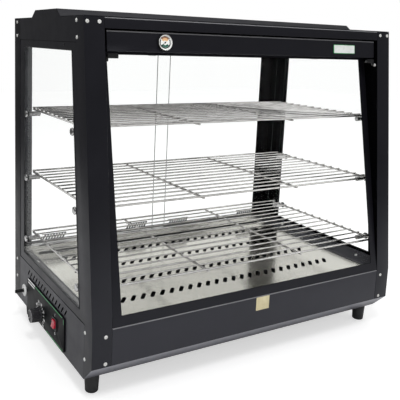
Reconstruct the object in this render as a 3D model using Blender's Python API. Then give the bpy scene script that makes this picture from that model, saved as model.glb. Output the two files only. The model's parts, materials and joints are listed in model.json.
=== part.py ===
"""Countertop heated display case: folded black sheet frame, leaning glass front,
glass sides, two sliding glass doors at the rear, three wire shelves on glass studs,
a slotted steel floor over two heating elements, and a control plate on the left side.
Metres, +Z up, front towards -Y, controls on the -X side."""

import math

import bmesh
import bpy
from mathutils import Matrix, Vector

# Overall size of the cabinet, without what stands out of its sides
WIDTH = 0.900
DEPTH = 0.550
FOOT_HEIGHT = 0.046
BASE_HEIGHT = 0.126
CASE_HEIGHT = 0.6485
LEAN = 0.0745
CHAMFER = 0.0415

# Sheet, glass and gaps
SHEET = 0.0012
GLASS = 0.004
GAP = 0.0003
OVERRUN = 0.010

# Corner posts
POST_FRONT = 0.0465
POST_SIDE = 0.0417
REAR_POST_SIDE = 0.050
REAR_POST_BACK = 0.050
POST_FLANGE_MIN = 0.004

# Front window frame, which leans further back than the posts
LIP_WIDTH = 0.0235
LIP_SET_BACK = 0.045
LIP_BOTTOM = 0.023
LIP_BELOW_SIDE_OPENING = 0.0065
LIP_TOP = 0.022
GLASS_LAP = 0.012

# Side windows
SIDE_LIP_FRONT = 0.0283
SIDE_LIP_REAR = 0.034
SIDE_LIP_BOTTOM = 0.0225
SIDE_HEADER = 0.0710
SIDE_LIP_TOP = 0.0175
SIDE_LIP_RECESS = 0.0008

# Header: upper rail, recessed band below it
RAIL_HEIGHT = 0.0230
RAIL_FOLD = 0.025
BAND_DROP = 0.0265
BAND_HEIGHT = 0.044
BAND_RECESS = 0.006
BAND_END_GAP = 0.0065
BAND_TOP_FOLD = 0.010

# Roof plateau
PLATEAU_RISE = 0.017
PLATEAU_FRONT_FOOT = 0.1318
PLATEAU_FRONT_TOP = 0.1545
PLATEAU_REAR_TOP = 0.1716
PLATEAU_REAR_FOOT = 0.1463

# Base
BASE_TOP_FOLD = 0.014
SIDE_VENT_PITCH = 0.0208
SIDE_VENT_WIDTH = 0.0050
SIDE_VENT_RUN = 0.0115
SIDE_VENT_RISE = 0.0135
SIDE_VENT_DROP = 0.0210
SIDE_VENT_LEAD = 0.0025
REAR_PANEL_RISE = 0.020

# Floor
FLOOR_DROP = 0.004
FLOOR_UNDER_LEDGE = 0.0030
FLOOR_SLOT_MARGIN = 0.0768
FLOOR_SLOT_PITCH = 0.0269
FLOOR_SLOT_WIDTH = 0.0100
FLOOR_SLOT_RUN = 0.0155
FLOOR_SLOT_REACH = 0.0195
FLOOR_SLOT_SHIFT = 0.0057
FLOOR_ROW_SHARES = (0.231, 0.419, 0.620, 0.790)

# Side ledges, which rise from the floor and seat the side glass
LEDGE_SPREAD = 0.0400
LEDGE_FLANGE = 0.0050
LEDGE_SHOULDER = 0.0070
LEDGE_SEAT_DROP = 0.0120
LEDGE_RISE = 0.0200

# Rear door tracks and sliding doors
TRACK_FRONT = 0.0440
TRACK_RIB = 0.0030
TRACK_LAND = 0.0050
TRACK_GROOVE = 0.0075
SILL_HEIGHT = 0.0250
DOOR_RUNNING_GAP = 0.0006
DOOR_LIFT = 0.0040
DOOR_OVERLAP = 0.0500
DOOR_END_GAP = 0.0100

# Ceiling and lamp
CEILING_UP_FOLD = 0.020
LAMP_END = 0.200
LAMP_RADIUS = 0.0065
LAMP_HOLDER = 0.018
LAMP_HOLDER_THICK = 0.014
LAMP_BELOW_CEILING = 0.012
LAMP_BEHIND_GLASS = 0.025

# Wire shelves and their studs, from the deck of the base
SHELF_HEIGHTS = (0.080, 0.248, 0.418)
SHELF_SIDE_GAP = 0.0187
SHELF_REAR = 0.0865
SHELF_FRONT_GAP = 0.0060
SHELF_PITCH = 0.0300
ROD_RADIUS = 0.0020
EDGE_ROD_RADIUS = 0.0026
CROSS_RADIUS = 0.0028
WELD = 0.0006
CROSS_END_INSET = 0.0030
CROSS_SHARES = (-1, -0.34, 0.34, 1)
STUD_RADIUS = 0.0065
STUD_UNDER_SHELF = 0.0146
STUD_CAP_RADIUS = 0.0090
STUD_CAP = 0.0050
STUD_SHANK = 0.0035
STUD_HOLE_CLEARANCE = 0.0006
STUD_REAR = 0.1030
STUD_FRONT_MARGIN = 0.0110

# Feet
FOOT_INSET_X = 0.0300
FOOT_INSET_Y = 0.0650
FOOT_TOP_RADIUS = 0.0175
FOOT_BOTTOM_RADIUS = 0.0150
FOOT_BEVEL = 0.0020

# Control plate on the left side
PLATE_TO_GLAND = 0.0125
PLATE_HEIGHT = 0.0870
PLATE_THICK = 0.0030
PLATE_CORNER = 0.0080
PLATE_FRONT = 0.1530
PLATE_LIFT = 0.0040

# Thermostat and its knob
KNOB_ALONG_PLATE = 0.1680
KNOB_DROP = 0.0175
KNOB_RADIUS = 0.0195
KNOB_TIP_RADIUS = 0.0170
KNOB_LENGTH = 0.0270
KNOB_SIDES = 24
SHAFT_RADIUS = 0.0030
SHAFT_REACH = 0.0200
SHAFT_CLEARANCE = 0.0005
THERMOSTAT_SIDE = 0.0400
THERMOSTAT_DEPTH = 0.0300

# Rocker switch
SWITCH_ALONG_PLATE = 0.0594
SWITCH_RISE = 0.0055
SWITCH_FLANGE_WIDTH = 0.0280
SWITCH_FLANGE_HEIGHT = 0.0310
SWITCH_FLANGE = 0.0020
SWITCH_BODY_WIDTH = 0.0240
SWITCH_BODY_HEIGHT = 0.0270
SWITCH_BODY_DEPTH = 0.0240
SWITCH_WALL = 0.0020
SWITCH_WELL = 0.0090
ROCKER_CLEARANCE = 0.0006
ROCKER_END_CLEARANCE = 0.0017
ROCKER_PROUD = 0.0045
ROCKER_TILT_DEG = 8.0
ROCKER_CORE = 0.0040

# Cable gland
GLAND_FROM_REAR = 0.0940
GLAND_DROP = 0.0055
GLAND_DISC_RADIUS = 0.0165
GLAND_DISC = 0.0045
GLAND_SLEEVE_RADIUS = 0.0048
GLAND_SLEEVE = 0.0225
GLAND_BORE_RADIUS = 0.0037
GLAND_BORE_DEPTH = 0.0120
GLAND_STUB_RADIUS = 0.0075
GLAND_STUB = 0.0100

# Heating elements and terminal block, inside the base
HEATER_END = 0.1400
HEATER_RADIUS = 0.0040
HEATER_LOOP = 0.0450
HEATER_HEIGHT = 0.0550
HEATER_BRACKET = 0.0030
HEATER_BRACKET_DEPTH = 0.0600
HEATER_OFFSET = 0.1100
HEATER_BRACKET_INSET = 0.0620
TERMINAL_LENGTH = 0.0600
TERMINAL_DEPTH = 0.0220
TERMINAL_HEIGHT = 0.0200
TERMINAL_INSET = 0.0600

# Dial thermometer in the band
DIAL_FROM_LEFT = 0.1920
DIAL_RADIUS = 0.0190
DIAL_BEZEL = 0.0045
DIAL_RIM = 0.0025
DIAL_WELL = 0.0030
DIAL_BODY_RADIUS = 0.0160
DIAL_BODY = 0.0120
NEEDLE_LENGTH = 0.0120
NEEDLE_TAIL = 0.0040
NEEDLE_WIDTH = 0.0014
NEEDLE_THICK = 0.0008
NEEDLE_HUB = 0.0018
NEEDLE_REST_DEG = 135.0

# Places worked out from the sizes above
half_width = WIDTH / 2
front_y = -DEPTH / 2
rear_y = DEPTH / 2
base_z = FOOT_HEIGHT
deck_z = base_z + BASE_HEIGHT
top_z = deck_z + CASE_HEIGHT
lean_slope = LEAN / CASE_HEIGHT
inner_half_width = half_width - SHEET - GAP
pan_top = base_z + SHEET


def post_y(z):
    """Front face of the posts at a height."""
    return front_y + lean_slope * max(0, z - deck_z)


front_open_bottom = deck_z + LIP_BOTTOM
side_open_top = top_z - SIDE_HEADER
front_open_top = side_open_top - LIP_BELOW_SIDE_OPENING
lip_slope = (post_y(front_open_top) + LIP_SET_BACK - front_y) / (front_open_top - deck_z)


def lip_y(z):
    """Front face of the front window frame at a height."""
    return front_y + lip_slope * (z - deck_z)


def glass_back_y(z):
    """Rear face of the front glass at a height."""
    across = math.sqrt(1 + lip_slope**2)
    return lip_y(z) + (SHEET + GAP + GLASS) * across


side_open_bottom = deck_z + SIDE_LIP_BOTTOM
side_frame_top = side_open_top + SIDE_LIP_TOP
side_open_rear = rear_y - REAR_POST_SIDE - SIDE_LIP_REAR
side_glass_outer = half_width - SIDE_LIP_RECESS - SHEET - GAP
side_glass_inner = side_glass_outer - GLASS
floor_z = deck_z - FLOOR_DROP
ledge_top_z = floor_z + LEDGE_RISE
ledge_wall_x = side_glass_inner - GAP
seat_z = ledge_top_z - LEDGE_SEAT_DROP
side_glass_bottom = seat_z + GAP
side_glass_top = side_open_top + GLASS_LAP
ceiling_z = side_glass_top + GAP
track_front_y = rear_y - TRACK_FRONT
groove = GLASS + 2 * DOOR_RUNNING_GAP
track_depth = 2 * TRACK_RIB + TRACK_LAND + 2 * groove
track_rear_y = track_front_y + track_depth
sill_z = floor_z + SILL_HEIGHT
door_bottom = sill_z - TRACK_GROOVE + GAP
upper_track_top = ceiling_z - GAP
upper_track_bottom = upper_track_top - TRACK_GROOVE - TRACK_LAND
door_top = upper_track_bottom + TRACK_GROOVE - DOOR_LIFT
door_end = inner_half_width - DOOR_END_GAP
plate_out = half_width + GAP + PLATE_THICK
gland_y = rear_y - GLAND_FROM_REAR
plate_front_y = front_y + PLATE_FRONT
plate_rear_y = gland_y - GLAND_DISC_RADIUS - PLATE_TO_GLAND
knob_y = plate_front_y + KNOB_ALONG_PLATE
plate_low_z = base_z + PLATE_LIFT
plate_mid_z = plate_low_z + PLATE_HEIGHT / 2
knob_z = plate_mid_z - KNOB_DROP
switch_y = plate_front_y + SWITCH_ALONG_PLATE
switch_z = plate_mid_z + SWITCH_RISE
gland_z = plate_mid_z - GLAND_DROP
cap_outer = side_glass_outer + GAP + STUD_CAP
knob_reach = plate_out + GAP + KNOB_LENGTH
shift_x = (knob_reach - cap_outer) / 2
shelf_half_width = side_glass_inner - SHELF_SIDE_GAP
ledge_foot_x = half_width - LEDGE_SPREAD
floor_half_width = ledge_foot_x + FLOOR_UNDER_LEDGE
floor_front_y = front_y + POST_FLANGE_MIN + GAP
rail_inner_y = rear_y - SHEET - GAP
chamfer_top_z = base_z + CHAMFER

# Finishes: colour, metallic, roughness
FINISHES = {
    "black_coat": ((0.016, 0.016, 0.019), 0.0, 0.42),
    "steel": ((0.62, 0.61, 0.58), 1.0, 0.30),
    "dark_steel": ((0.10, 0.10, 0.10), 0.8, 0.45),
    "chrome": ((0.80, 0.80, 0.80), 1.0, 0.16),
    "glass": ((0.92, 0.96, 0.95), 0.0, 0.03),
    "rubber": ((0.012, 0.012, 0.012), 0.0, 0.70),
    "plate": ((0.020, 0.022, 0.022), 0.0, 0.35),
    "black_plastic": ((0.015, 0.015, 0.016), 0.0, 0.38),
    "red_plastic": ((0.62, 0.02, 0.03), 0.0, 0.25),
    "pale_plastic": ((0.70, 0.72, 0.70), 0.0, 0.45),
    "ceramic": ((0.82, 0.80, 0.74), 0.0, 0.50),
    "lamp_glass": ((0.95, 0.90, 0.78), 0.0, 0.20),
}


def clear_scene():
    for old in list(bpy.data.objects):
        bpy.data.objects.remove(old, do_unlink=True)


def finish_for(name, finish):
    colour, metallic, roughness = FINISHES[finish]
    material = bpy.data.materials.new(name)
    material.use_nodes = True
    shader = material.node_tree.nodes["Principled BSDF"]
    shader.inputs["Base Color"].default_value = (*colour, 1)
    shader.inputs["Metallic"].default_value = metallic
    shader.inputs["Roughness"].default_value = roughness
    if "glass" in finish:
        shader.inputs["Transmission Weight"].default_value = 1
    return material


def node(name, bm, finish, round_piece=False, pivot=(0, 0, 0)):
    """One named piece from a bmesh in cabinet coordinates, its origin on the pivot."""
    bmesh.ops.recalc_face_normals(bm, faces=bm.faces)
    bmesh.ops.translate(bm, verts=bm.verts, vec=-Vector(pivot))
    mesh = bpy.data.meshes.new(name)
    bm.to_mesh(mesh)
    bm.free()
    if round_piece:
        mesh.shade_smooth()
        mesh.set_sharp_from_angle(angle=math.radians(35))
    piece = bpy.data.objects.new(name, mesh)
    bpy.context.scene.collection.objects.link(piece)
    piece.location = pivot
    piece.parent = cabinet
    mesh.materials.append(finish_for(name, finish))
    return piece


def cutter(name, bm):
    piece = node(name, bm, "plate")
    piece.hide_render = True
    piece.display_type = "WIRE"
    return piece


def cut(piece, tool, operation="DIFFERENCE"):
    modifier = piece.modifiers.new(tool.name, "BOOLEAN")
    modifier.operation = operation
    modifier.object = tool
    modifier.solver = "EXACT"


def add_box(bm, low, high):
    """Adds a box between two corners."""
    made = bmesh.ops.create_cube(bm, size=1)["verts"]
    size = [high[i] - low[i] for i in range(3)]
    middle = [(high[i] + low[i]) / 2 for i in range(3)]
    bmesh.ops.scale(bm, verts=made, vec=size)
    bmesh.ops.translate(bm, verts=made, vec=middle)


def box(low, high):
    bm = bmesh.new()
    add_box(bm, low, high)
    return bm


def add_rod(bm, start, end, radius, sides):
    """Adds a closed round bar between two points."""
    start, end = Vector(start), Vector(end)
    along = end - start
    turn = Vector((0, 0, 1)).rotation_difference(along).to_matrix().to_4x4()
    place = Matrix.Translation((start + end) / 2) @ turn
    made = bmesh.ops.create_cone(
        bm, cap_ends=True, segments=sides, radius1=radius, radius2=radius, depth=along.length
    )["verts"]
    bmesh.ops.transform(bm, matrix=place, verts=made)


def add_prism(bm, outline, axis, low, high):
    """Adds an outline extruded along X (points are y, z) or along Y (points are x, z)."""
    if axis == "X":
        ring = [bm.verts.new((low, a, b)) for a, b in outline]
        step = (high - low, 0, 0)
    else:
        ring = [bm.verts.new((a, low, b)) for a, b in outline]
        step = (0, high - low, 0)
    face = bm.faces.new(ring)
    grown = bmesh.ops.extrude_face_region(bm, geom=[face], use_keep_orig=True)["geom"]
    moved = [item for item in grown if isinstance(item, bmesh.types.BMVert)]
    bmesh.ops.translate(bm, verts=moved, vec=step)


def prism(outline, axis, low, high):
    bm = bmesh.new()
    add_prism(bm, outline, axis, low, high)
    return bm


def loft(sections):
    """A closed body through rings of points, one ring after another."""
    bm = bmesh.new()
    rings = [[bm.verts.new(point) for point in section] for section in sections]
    count = len(rings[0])
    for near, far in zip(rings, rings[1:]):
        for i in range(count):
            j = (i + 1) % count
            bm.faces.new((near[i], near[j], far[j], far[i]))
    bm.faces.new(rings[0])
    bm.faces.new(rings[-1])
    return bm


def folded(points, thick):
    """Outline of a sheet folded along points, its thickness to the left of the run."""
    run = [Vector(point) for point in points]
    sides = []
    for a, b in zip(run, run[1:]):
        along = (b - a).normalized()
        sides.append(Vector((-along.y, along.x)))
    inner = []
    for i, point in enumerate(run):
        before = sides[max(0, i - 1)]
        after = sides[min(i, len(sides) - 1)]
        middle = (before + after).normalized()
        inner.append(point + middle * (thick / middle.dot(after)))
    return [tuple(p) for p in run] + [tuple(p) for p in reversed(inner)]


def mirrored(points, side):
    return [(side * x, y, z) for x, y, z in points]


def obround(middle, half_run, half_rise, width, arc_steps=3):
    """Eight-sided slot with round ends about a slanted centre line."""
    turn = math.atan2(half_rise, half_run)
    points = []
    for end in (1, -1):
        for step in range(arc_steps + 1):
            angle = turn - math.pi / 2 + math.pi * step / arc_steps
            if end < 0:
                angle += math.pi
            x = middle[0] + end * half_run + width / 2 * math.cos(angle)
            y = middle[1] + end * half_rise + width / 2 * math.sin(angle)
            points.append((x, y))
    return points


def turned(profile, sides, axis_point, axis):
    """A closed body turned from (radius, distance along the axis) points."""
    bm = bmesh.new()
    ring = [bm.verts.new((radius, 0, height)) for radius, height in profile]
    edges = [bm.edges.new(pair) for pair in zip(ring, ring[1:])]
    bmesh.ops.spin(
        bm,
        geom=ring + edges,
        cent=(0, 0, 0),
        axis=(0, 0, 1),
        angle=math.tau,
        steps=sides,
        use_merge=True,
    )
    bmesh.ops.remove_doubles(bm, verts=bm.verts, dist=GAP / 10)
    turn = Vector((0, 0, 1)).rotation_difference(Vector(axis)).to_matrix().to_4x4()
    bmesh.ops.transform(bm, matrix=Matrix.Translation(axis_point) @ turn, verts=bm.verts)
    return bm


def mitred_frame(outer, inner, thick_step):
    """A flat frame between two four-cornered outlines in space."""
    bm = bmesh.new()
    rings = []
    for offset in (Vector((0, 0, 0)), Vector(thick_step)):
        for outline in (outer, inner):
            rings.append([bm.verts.new(Vector(point) + offset) for point in outline])
    front_outer, front_inner, back_outer, back_inner = rings
    for i in range(4):
        j = (i + 1) % 4
        bm.faces.new((front_outer[i], front_outer[j], front_inner[j], front_inner[i]))
        bm.faces.new((back_outer[i], back_outer[j], back_inner[j], back_inner[i]))
        bm.faces.new((front_outer[i], front_outer[j], back_outer[j], back_outer[i]))
        bm.faces.new((front_inner[i], front_inner[j], back_inner[j], back_inner[i]))
    return bm


def base_pan():
    """Underside of the cabinet, folded up at 45 degrees along the front."""
    bend = SHEET * math.tan(math.pi / 8)
    outline = [
        (front_y, chamfer_top_z),
        (front_y + CHAMFER, base_z),
        (rear_y, base_z),
        (rear_y, pan_top),
        (front_y + CHAMFER + bend, pan_top),
        (front_y + SHEET * math.sqrt(2), chamfer_top_z),
    ]
    node("base_pan", prism(outline, "X", -half_width, half_width), "black_coat")


def base_front_panel():
    """Vertical front of the base with its lit top fold."""
    run = [
        (front_y + BASE_TOP_FOLD, deck_z),
        (front_y, deck_z),
        (front_y, chamfer_top_z + GAP),
    ]
    across = half_width - POST_FRONT - GAP
    node("base_front_panel", prism(folded(run, SHEET), "X", -across, across), "black_coat")


def post_section(z, side):
    """The folded channel of a front post at one height."""
    y = post_y(z)
    flange = POST_FLANGE_MIN + max(0, lip_y(z) - y)
    inner = half_width - POST_FRONT
    points = [
        (half_width, y, z),
        (inner, y, z),
        (inner, y + flange, z),
        (inner + SHEET, y + flange, z),
        (inner + SHEET, y + SHEET, z),
        (half_width - SHEET, y + SHEET, z),
        (half_width - SHEET, y + POST_SIDE, z),
        (half_width, y + POST_SIDE, z),
    ]
    return mirrored(points, side)


def below_posts():
    """What the posts leave clear: the pan, its chamfer and the gap above them."""
    slant = front_y + (SHEET + GAP) * math.sqrt(2)
    low = chamfer_top_z + GAP
    level = pan_top + GAP
    outline = [
        (front_y - OVERRUN, low),
        (slant - GAP, low),
        (slant + chamfer_top_z - level, level),
        (front_y + POST_SIDE + OVERRUN, level),
        (front_y + POST_SIDE + OVERRUN, base_z - OVERRUN),
        (front_y - OVERRUN, base_z - OVERRUN),
    ]
    reach = half_width + OVERRUN
    return prism(outline, "X", -reach, reach)


def front_posts():
    clear = cutter("below_posts", below_posts())
    for side, name in ((-1, "front_left_post"), (1, "front_right_post")):
        levels = (base_z, deck_z, top_z)
        post = node(name, loft([post_section(z, side) for z in levels]), "black_coat")
        cut(post, clear)


def rear_posts():
    for side, name in ((-1, "rear_left_post"), (1, "rear_right_post")):
        outline = [
            (half_width, rear_y - REAR_POST_SIDE),
            (half_width, rear_y),
            (half_width - REAR_POST_BACK, rear_y),
            (half_width - REAR_POST_BACK, rear_y - SHEET),
            (half_width - SHEET, rear_y - SHEET),
            (half_width - SHEET, rear_y - REAR_POST_SIDE),
        ]
        levels = (pan_top + GAP, top_z)
        sections = [mirrored([(x, y, z) for x, y in outline], side) for z in levels]
        node(name, loft(sections), "black_coat")


def base_side_panel(side, name, cutouts):
    low = pan_top + GAP
    high = deck_z - GAP
    front = front_y + POST_SIDE + GAP
    rear = rear_y - REAR_POST_SIDE - GAP
    outline = [(front, low), (front, high), (rear, high), (rear, low)]
    near = side * (half_width - SHEET)
    far = side * half_width
    panel = node(name, prism(outline, "X", min(near, far), max(near, far)), "black_coat")
    slots = bmesh.new()
    count = round((plate_rear_y - plate_front_y) / SIDE_VENT_PITCH) + 1
    middle = (plate_front_y + plate_rear_y) / 2 - SIDE_VENT_LEAD
    first = middle - SIDE_VENT_PITCH * (count - 1) / 2
    z = deck_z - SIDE_VENT_DROP
    reach = half_width + OVERRUN
    back = half_width - OVERRUN
    for i in range(count):
        middle = (first + SIDE_VENT_PITCH * i, z)
        slot = obround(middle, -SIDE_VENT_RUN / 2, SIDE_VENT_RISE / 2, SIDE_VENT_WIDTH)
        add_prism(slots, slot, "X", min(side * back, side * reach), max(side * back, side * reach))
    cut(panel, cutter(name + "_slots", slots))
    if cutouts:
        cut(panel, cutter(name + "_cutouts", control_holes()))
    return panel


def control_holes():
    """Holes for the thermostat shaft, the switch body and the cable gland."""
    bm = bmesh.new()
    near = -half_width - OVERRUN
    far = -half_width + OVERRUN
    shaft = SHAFT_RADIUS + SHAFT_CLEARANCE
    add_rod(bm, (near, knob_y, knob_z), (far, knob_y, knob_z), shaft, 16)
    wide = SWITCH_BODY_WIDTH / 2 + GAP
    tall = SWITCH_BODY_HEIGHT / 2 + GAP
    add_box(
        bm,
        (near, switch_y - wide, switch_z - tall),
        (far, switch_y + wide, switch_z + tall),
    )
    stub = GLAND_STUB_RADIUS + GAP
    add_rod(bm, (near, gland_y, gland_z), (far, gland_y, gland_z), stub, 16)
    return bm


def base_rear_panel():
    across = half_width - REAR_POST_BACK - GAP
    high = deck_z + REAR_PANEL_RISE
    run = [(rear_y, pan_top + GAP), (rear_y, high), (track_rear_y + GAP, high)]
    outline = folded(run, SHEET)
    node("base_rear_panel", prism(outline, "X", -across, across), "black_coat")


def side_frame_points(recess_side, inner):
    """Corners of a side window frame: front bottom, front top, rear top, rear bottom."""
    if inner:
        low, high = side_open_bottom, side_open_top
        margin, rear = POST_SIDE + SIDE_LIP_FRONT, side_open_rear
    else:
        low, high = deck_z + GAP, side_frame_top
        margin, rear = POST_SIDE + GAP, rear_y - REAR_POST_SIDE - GAP
    x = recess_side * (half_width - SIDE_LIP_RECESS)
    return [
        (x, post_y(low) + margin, low),
        (x, post_y(high) + margin, high),
        (x, rear, high),
        (x, rear, low),
    ]


def window_frames():
    for side, name in ((-1, "left_window_frame"), (1, "right_window_frame")):
        outer = side_frame_points(side, False)
        inner = side_frame_points(side, True)
        bm = mitred_frame(outer, inner, (-side * SHEET, 0, 0))
        node(name, bm, "black_coat")
    low, high = deck_z + GAP + lip_slope * SHEET, front_open_top + LIP_TOP
    across = half_width - POST_FRONT - GAP
    inside = across + GAP - LIP_WIDTH
    outer = [(x, lip_y(z), z) for x, z in rectangle(across, low, high)]
    inner = [(x, lip_y(z), z) for x, z in rectangle(inside, front_open_bottom, front_open_top)]
    bm = mitred_frame(outer, inner, normal_step(SHEET))
    node("front_window_frame", bm, "black_coat")


def rectangle(half, low, high):
    return [(-half, low), (-half, high), (half, high), (half, low)]


def normal_step(distance):
    """A step square to the front window, towards the inside."""
    inward = Vector((0, 1, -lip_slope)).normalized()
    return inward * distance


def front_glass():
    across = half_width - POST_FRONT - LIP_WIDTH + GLASS_LAP
    low = front_open_bottom - GLASS_LAP
    high = front_open_top + GLASS_LAP
    near = normal_step(SHEET + GAP)
    far = normal_step(SHEET + GAP + GLASS)
    corners = [(x, lip_y(z), z) for x, z in rectangle(across, low, high)]
    sections = [[tuple(Vector(p) + step) for p in corners] for step in (near, far)]
    node("front_glass", loft(sections), "glass")


def stud_places():
    """(height, y) of the front and rear stud of each shelf level."""
    places = []
    for height in SHELF_HEIGHTS:
        z = deck_z + height - CROSS_RADIUS * 2 - ROD_RADIUS + WELD - GAP - STUD_RADIUS
        front = post_y(z) + POST_SIDE + SIDE_LIP_FRONT + STUD_FRONT_MARGIN
        places.append((z, front, rear_y - STUD_REAR))
    return places


def side_glasses():
    for side, name in ((-1, "left_glass"), (1, "right_glass")):
        low, high = side_glass_bottom, side_glass_top
        margin = POST_SIDE + SIDE_LIP_FRONT - GLASS_LAP
        outline = [
            (post_y(low) + margin, low),
            (post_y(high) + margin, high),
            (side_open_rear + GLASS_LAP, high),
            (side_open_rear + GLASS_LAP, low),
        ]
        near, far = side * side_glass_inner, side * side_glass_outer
        glass = node(name, prism(outline, "X", min(near, far), max(near, far)), "glass")
        holes = bmesh.new()
        for z, front, rear in stud_places():
            for y in (front, rear):
                start = (near - side * OVERRUN, y, z)
                end = (far + side * OVERRUN, y, z)
                add_rod(holes, start, end, STUD_SHANK + STUD_HOLE_CLEARANCE, 12)
        cut(glass, cutter(name + "_holes", holes))


def shelf_studs():
    levels = ("lower", "middle", "upper")
    for level, (z, front, rear) in zip(levels, stud_places()):
        for side, hand in ((-1, "left"), (1, "right")):
            for y, end in ((front, "front"), (rear, "rear")):
                stud = turned(stud_profile(), 16, (0, y, z), (side, 0, 0))
                node(f"stud_{level}_{hand}_{end}", stud, "chrome", True)


def stud_profile():
    """Cap outside the glass, shank through it, support pin inside."""
    tip = shelf_half_width - STUD_UNDER_SHELF
    inside = side_glass_inner - GAP
    outside = side_glass_outer + GAP
    soft = STUD_CAP / 4
    return [
        (0, tip),
        (STUD_RADIUS - soft, tip),
        (STUD_RADIUS, tip + soft),
        (STUD_RADIUS, inside),
        (STUD_SHANK, inside),
        (STUD_SHANK, outside),
        (STUD_CAP_RADIUS, outside),
        (STUD_CAP_RADIUS, outside + STUD_CAP - soft),
        (STUD_CAP_RADIUS - soft, outside + STUD_CAP),
        (0, outside + STUD_CAP),
    ]


def header():
    """Upper rail flush with the posts and the recessed band under it."""
    across = half_width - POST_FRONT - GAP
    low = top_z - RAIL_HEIGHT
    run = [
        (post_y(top_z) + RAIL_FOLD, top_z),
        (post_y(top_z), top_z),
        (post_y(low), low),
    ]
    node("top_front_rail", prism(folded(run, SHEET), "X", -across, across), "black_coat")
    high = top_z - BAND_DROP
    low = high - BAND_HEIGHT
    back = lip_y(low) - GAP - lip_slope * SHEET
    run = [
        (post_y(high) + BAND_RECESS + BAND_TOP_FOLD, high),
        (post_y(high) + BAND_RECESS, high),
        (post_y(low) + BAND_RECESS, low),
        (back, low),
    ]
    reach = half_width - POST_FRONT - BAND_END_GAP
    band = node("thermometer_band", prism(folded(run, SHEET), "X", -reach, reach), "black_coat")
    hole = bmesh.new()
    middle, outward = dial_place()
    start = middle - outward * (DIAL_BODY + OVERRUN)
    end = middle + outward * OVERRUN
    add_rod(hole, start, end, DIAL_BODY_RADIUS + GAP, 24)
    cut(band, cutter("thermometer_hole", hole))


def dial_place():
    """Centre of the dial on the face of the band, and the way it faces."""
    z = top_z - BAND_DROP - BAND_HEIGHT / 2
    x = DIAL_FROM_LEFT - half_width
    outward = Vector((0, -1, lean_slope)).normalized()
    return Vector((x, post_y(z) + BAND_RECESS, z)), outward


def thermometer():
    middle, outward = dial_place()
    profile = [
        (0, -DIAL_BODY),
        (DIAL_BODY_RADIUS, -DIAL_BODY),
        (DIAL_BODY_RADIUS, GAP),
        (DIAL_RADIUS, GAP),
        (DIAL_RADIUS, DIAL_BEZEL - DIAL_RIM / 2),
        (DIAL_RADIUS - DIAL_RIM / 2, DIAL_BEZEL),
        (DIAL_RADIUS - DIAL_RIM, DIAL_BEZEL - DIAL_RIM / 4),
        (DIAL_RADIUS - DIAL_RIM, DIAL_BEZEL - DIAL_WELL),
        (0, DIAL_BEZEL - DIAL_WELL),
    ]
    node("thermometer_case", turned(profile, 32, middle, outward), "chrome", True)
    face = middle + outward * (DIAL_BEZEL - DIAL_WELL + GAP)
    bm = bmesh.new()
    add_rod(bm, (0, 0, 0), (0, 0, NEEDLE_THICK), NEEDLE_HUB, 12)
    half = NEEDLE_WIDTH / 2
    outline = [
        (-half, -NEEDLE_TAIL),
        (half, -NEEDLE_TAIL),
        (half, NEEDLE_LENGTH - half),
        (0, NEEDLE_LENGTH),
        (-half, NEEDLE_LENGTH - half),
    ]
    pointer = bmesh.new()
    levels = (NEEDLE_THICK / 4, NEEDLE_THICK * 3 / 4)
    rings = [[pointer.verts.new((x, y, z)) for x, y in outline] for z in levels]
    for i in range(len(outline)):
        j = (i + 1) % len(outline)
        pointer.faces.new((rings[0][i], rings[0][j], rings[1][j], rings[1][i]))
    pointer.faces.new(rings[0])
    pointer.faces.new(rings[1])
    turn = Vector((0, 0, 1)).rotation_difference(outward).to_matrix().to_4x4()
    place = Matrix.Translation(face) @ turn @ Matrix.Rotation(math.radians(NEEDLE_REST_DEG), 4, "Z")
    bmesh.ops.transform(bm, matrix=place, verts=bm.verts)
    bmesh.ops.transform(pointer, matrix=place, verts=pointer.verts)
    needle = node("thermometer_needle", bm, "dark_steel", True, face)
    cut(needle, cutter("needle_pointer", pointer), "UNION")


def roof_profile(height):
    """Run of the top edge from front to rear, over the plateau."""
    return [
        (front_y + LEAN, height),
        (front_y + LEAN + PLATEAU_FRONT_FOOT, height),
        (front_y + LEAN + PLATEAU_FRONT_TOP, height + PLATEAU_RISE),
        (rear_y - PLATEAU_REAR_TOP, height + PLATEAU_RISE),
        (rear_y - PLATEAU_REAR_FOOT, height),
        (rear_y, height),
    ]


def top_panels():
    low = side_frame_top + GAP
    for side, name in ((-1, "left_top_panel"), (1, "right_top_panel")):
        profile = roof_profile(top_z)
        front = post_y(top_z) + POST_SIDE + GAP
        rear = rear_y - REAR_POST_SIDE - GAP
        outline = [(front, top_z)] + profile[1:-1] + [(rear, top_z), (rear, low)]
        outline.append((post_y(low) + POST_SIDE + GAP, low))
        near, far = side * (half_width - SHEET), side * half_width
        node(name, prism(outline, "X", min(near, far), max(near, far)), "black_coat")


def roof_and_rear():
    """Cover sheet over the whole top, and the rail across the rear above the doors."""
    cover = prism(folded(roof_profile(top_z + GAP), SHEET), "X", -half_width, half_width)
    node("roof_cover", cover, "black_coat")
    across = half_width - REAR_POST_BACK - GAP
    run = [
        (rear_y, upper_track_bottom),
        (rear_y, top_z),
        (rear_y - RAIL_FOLD, top_z),
    ]
    node("top_rear_rail", prism(folded(run, SHEET), "X", -across, across), "black_coat")


def ceiling():
    """Inner ceiling with its side edges turned up against the top panels."""
    run = [
        (-side_glass_outer, ceiling_z + CEILING_UP_FOLD),
        (-side_glass_outer, ceiling_z),
        (side_glass_outer, ceiling_z),
        (side_glass_outer, ceiling_z + CEILING_UP_FOLD),
    ]
    front = glass_back_y(ceiling_z) + GAP
    node("ceiling_panel", prism(folded(run, SHEET), "Y", front, rail_inner_y), "steel")


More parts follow.
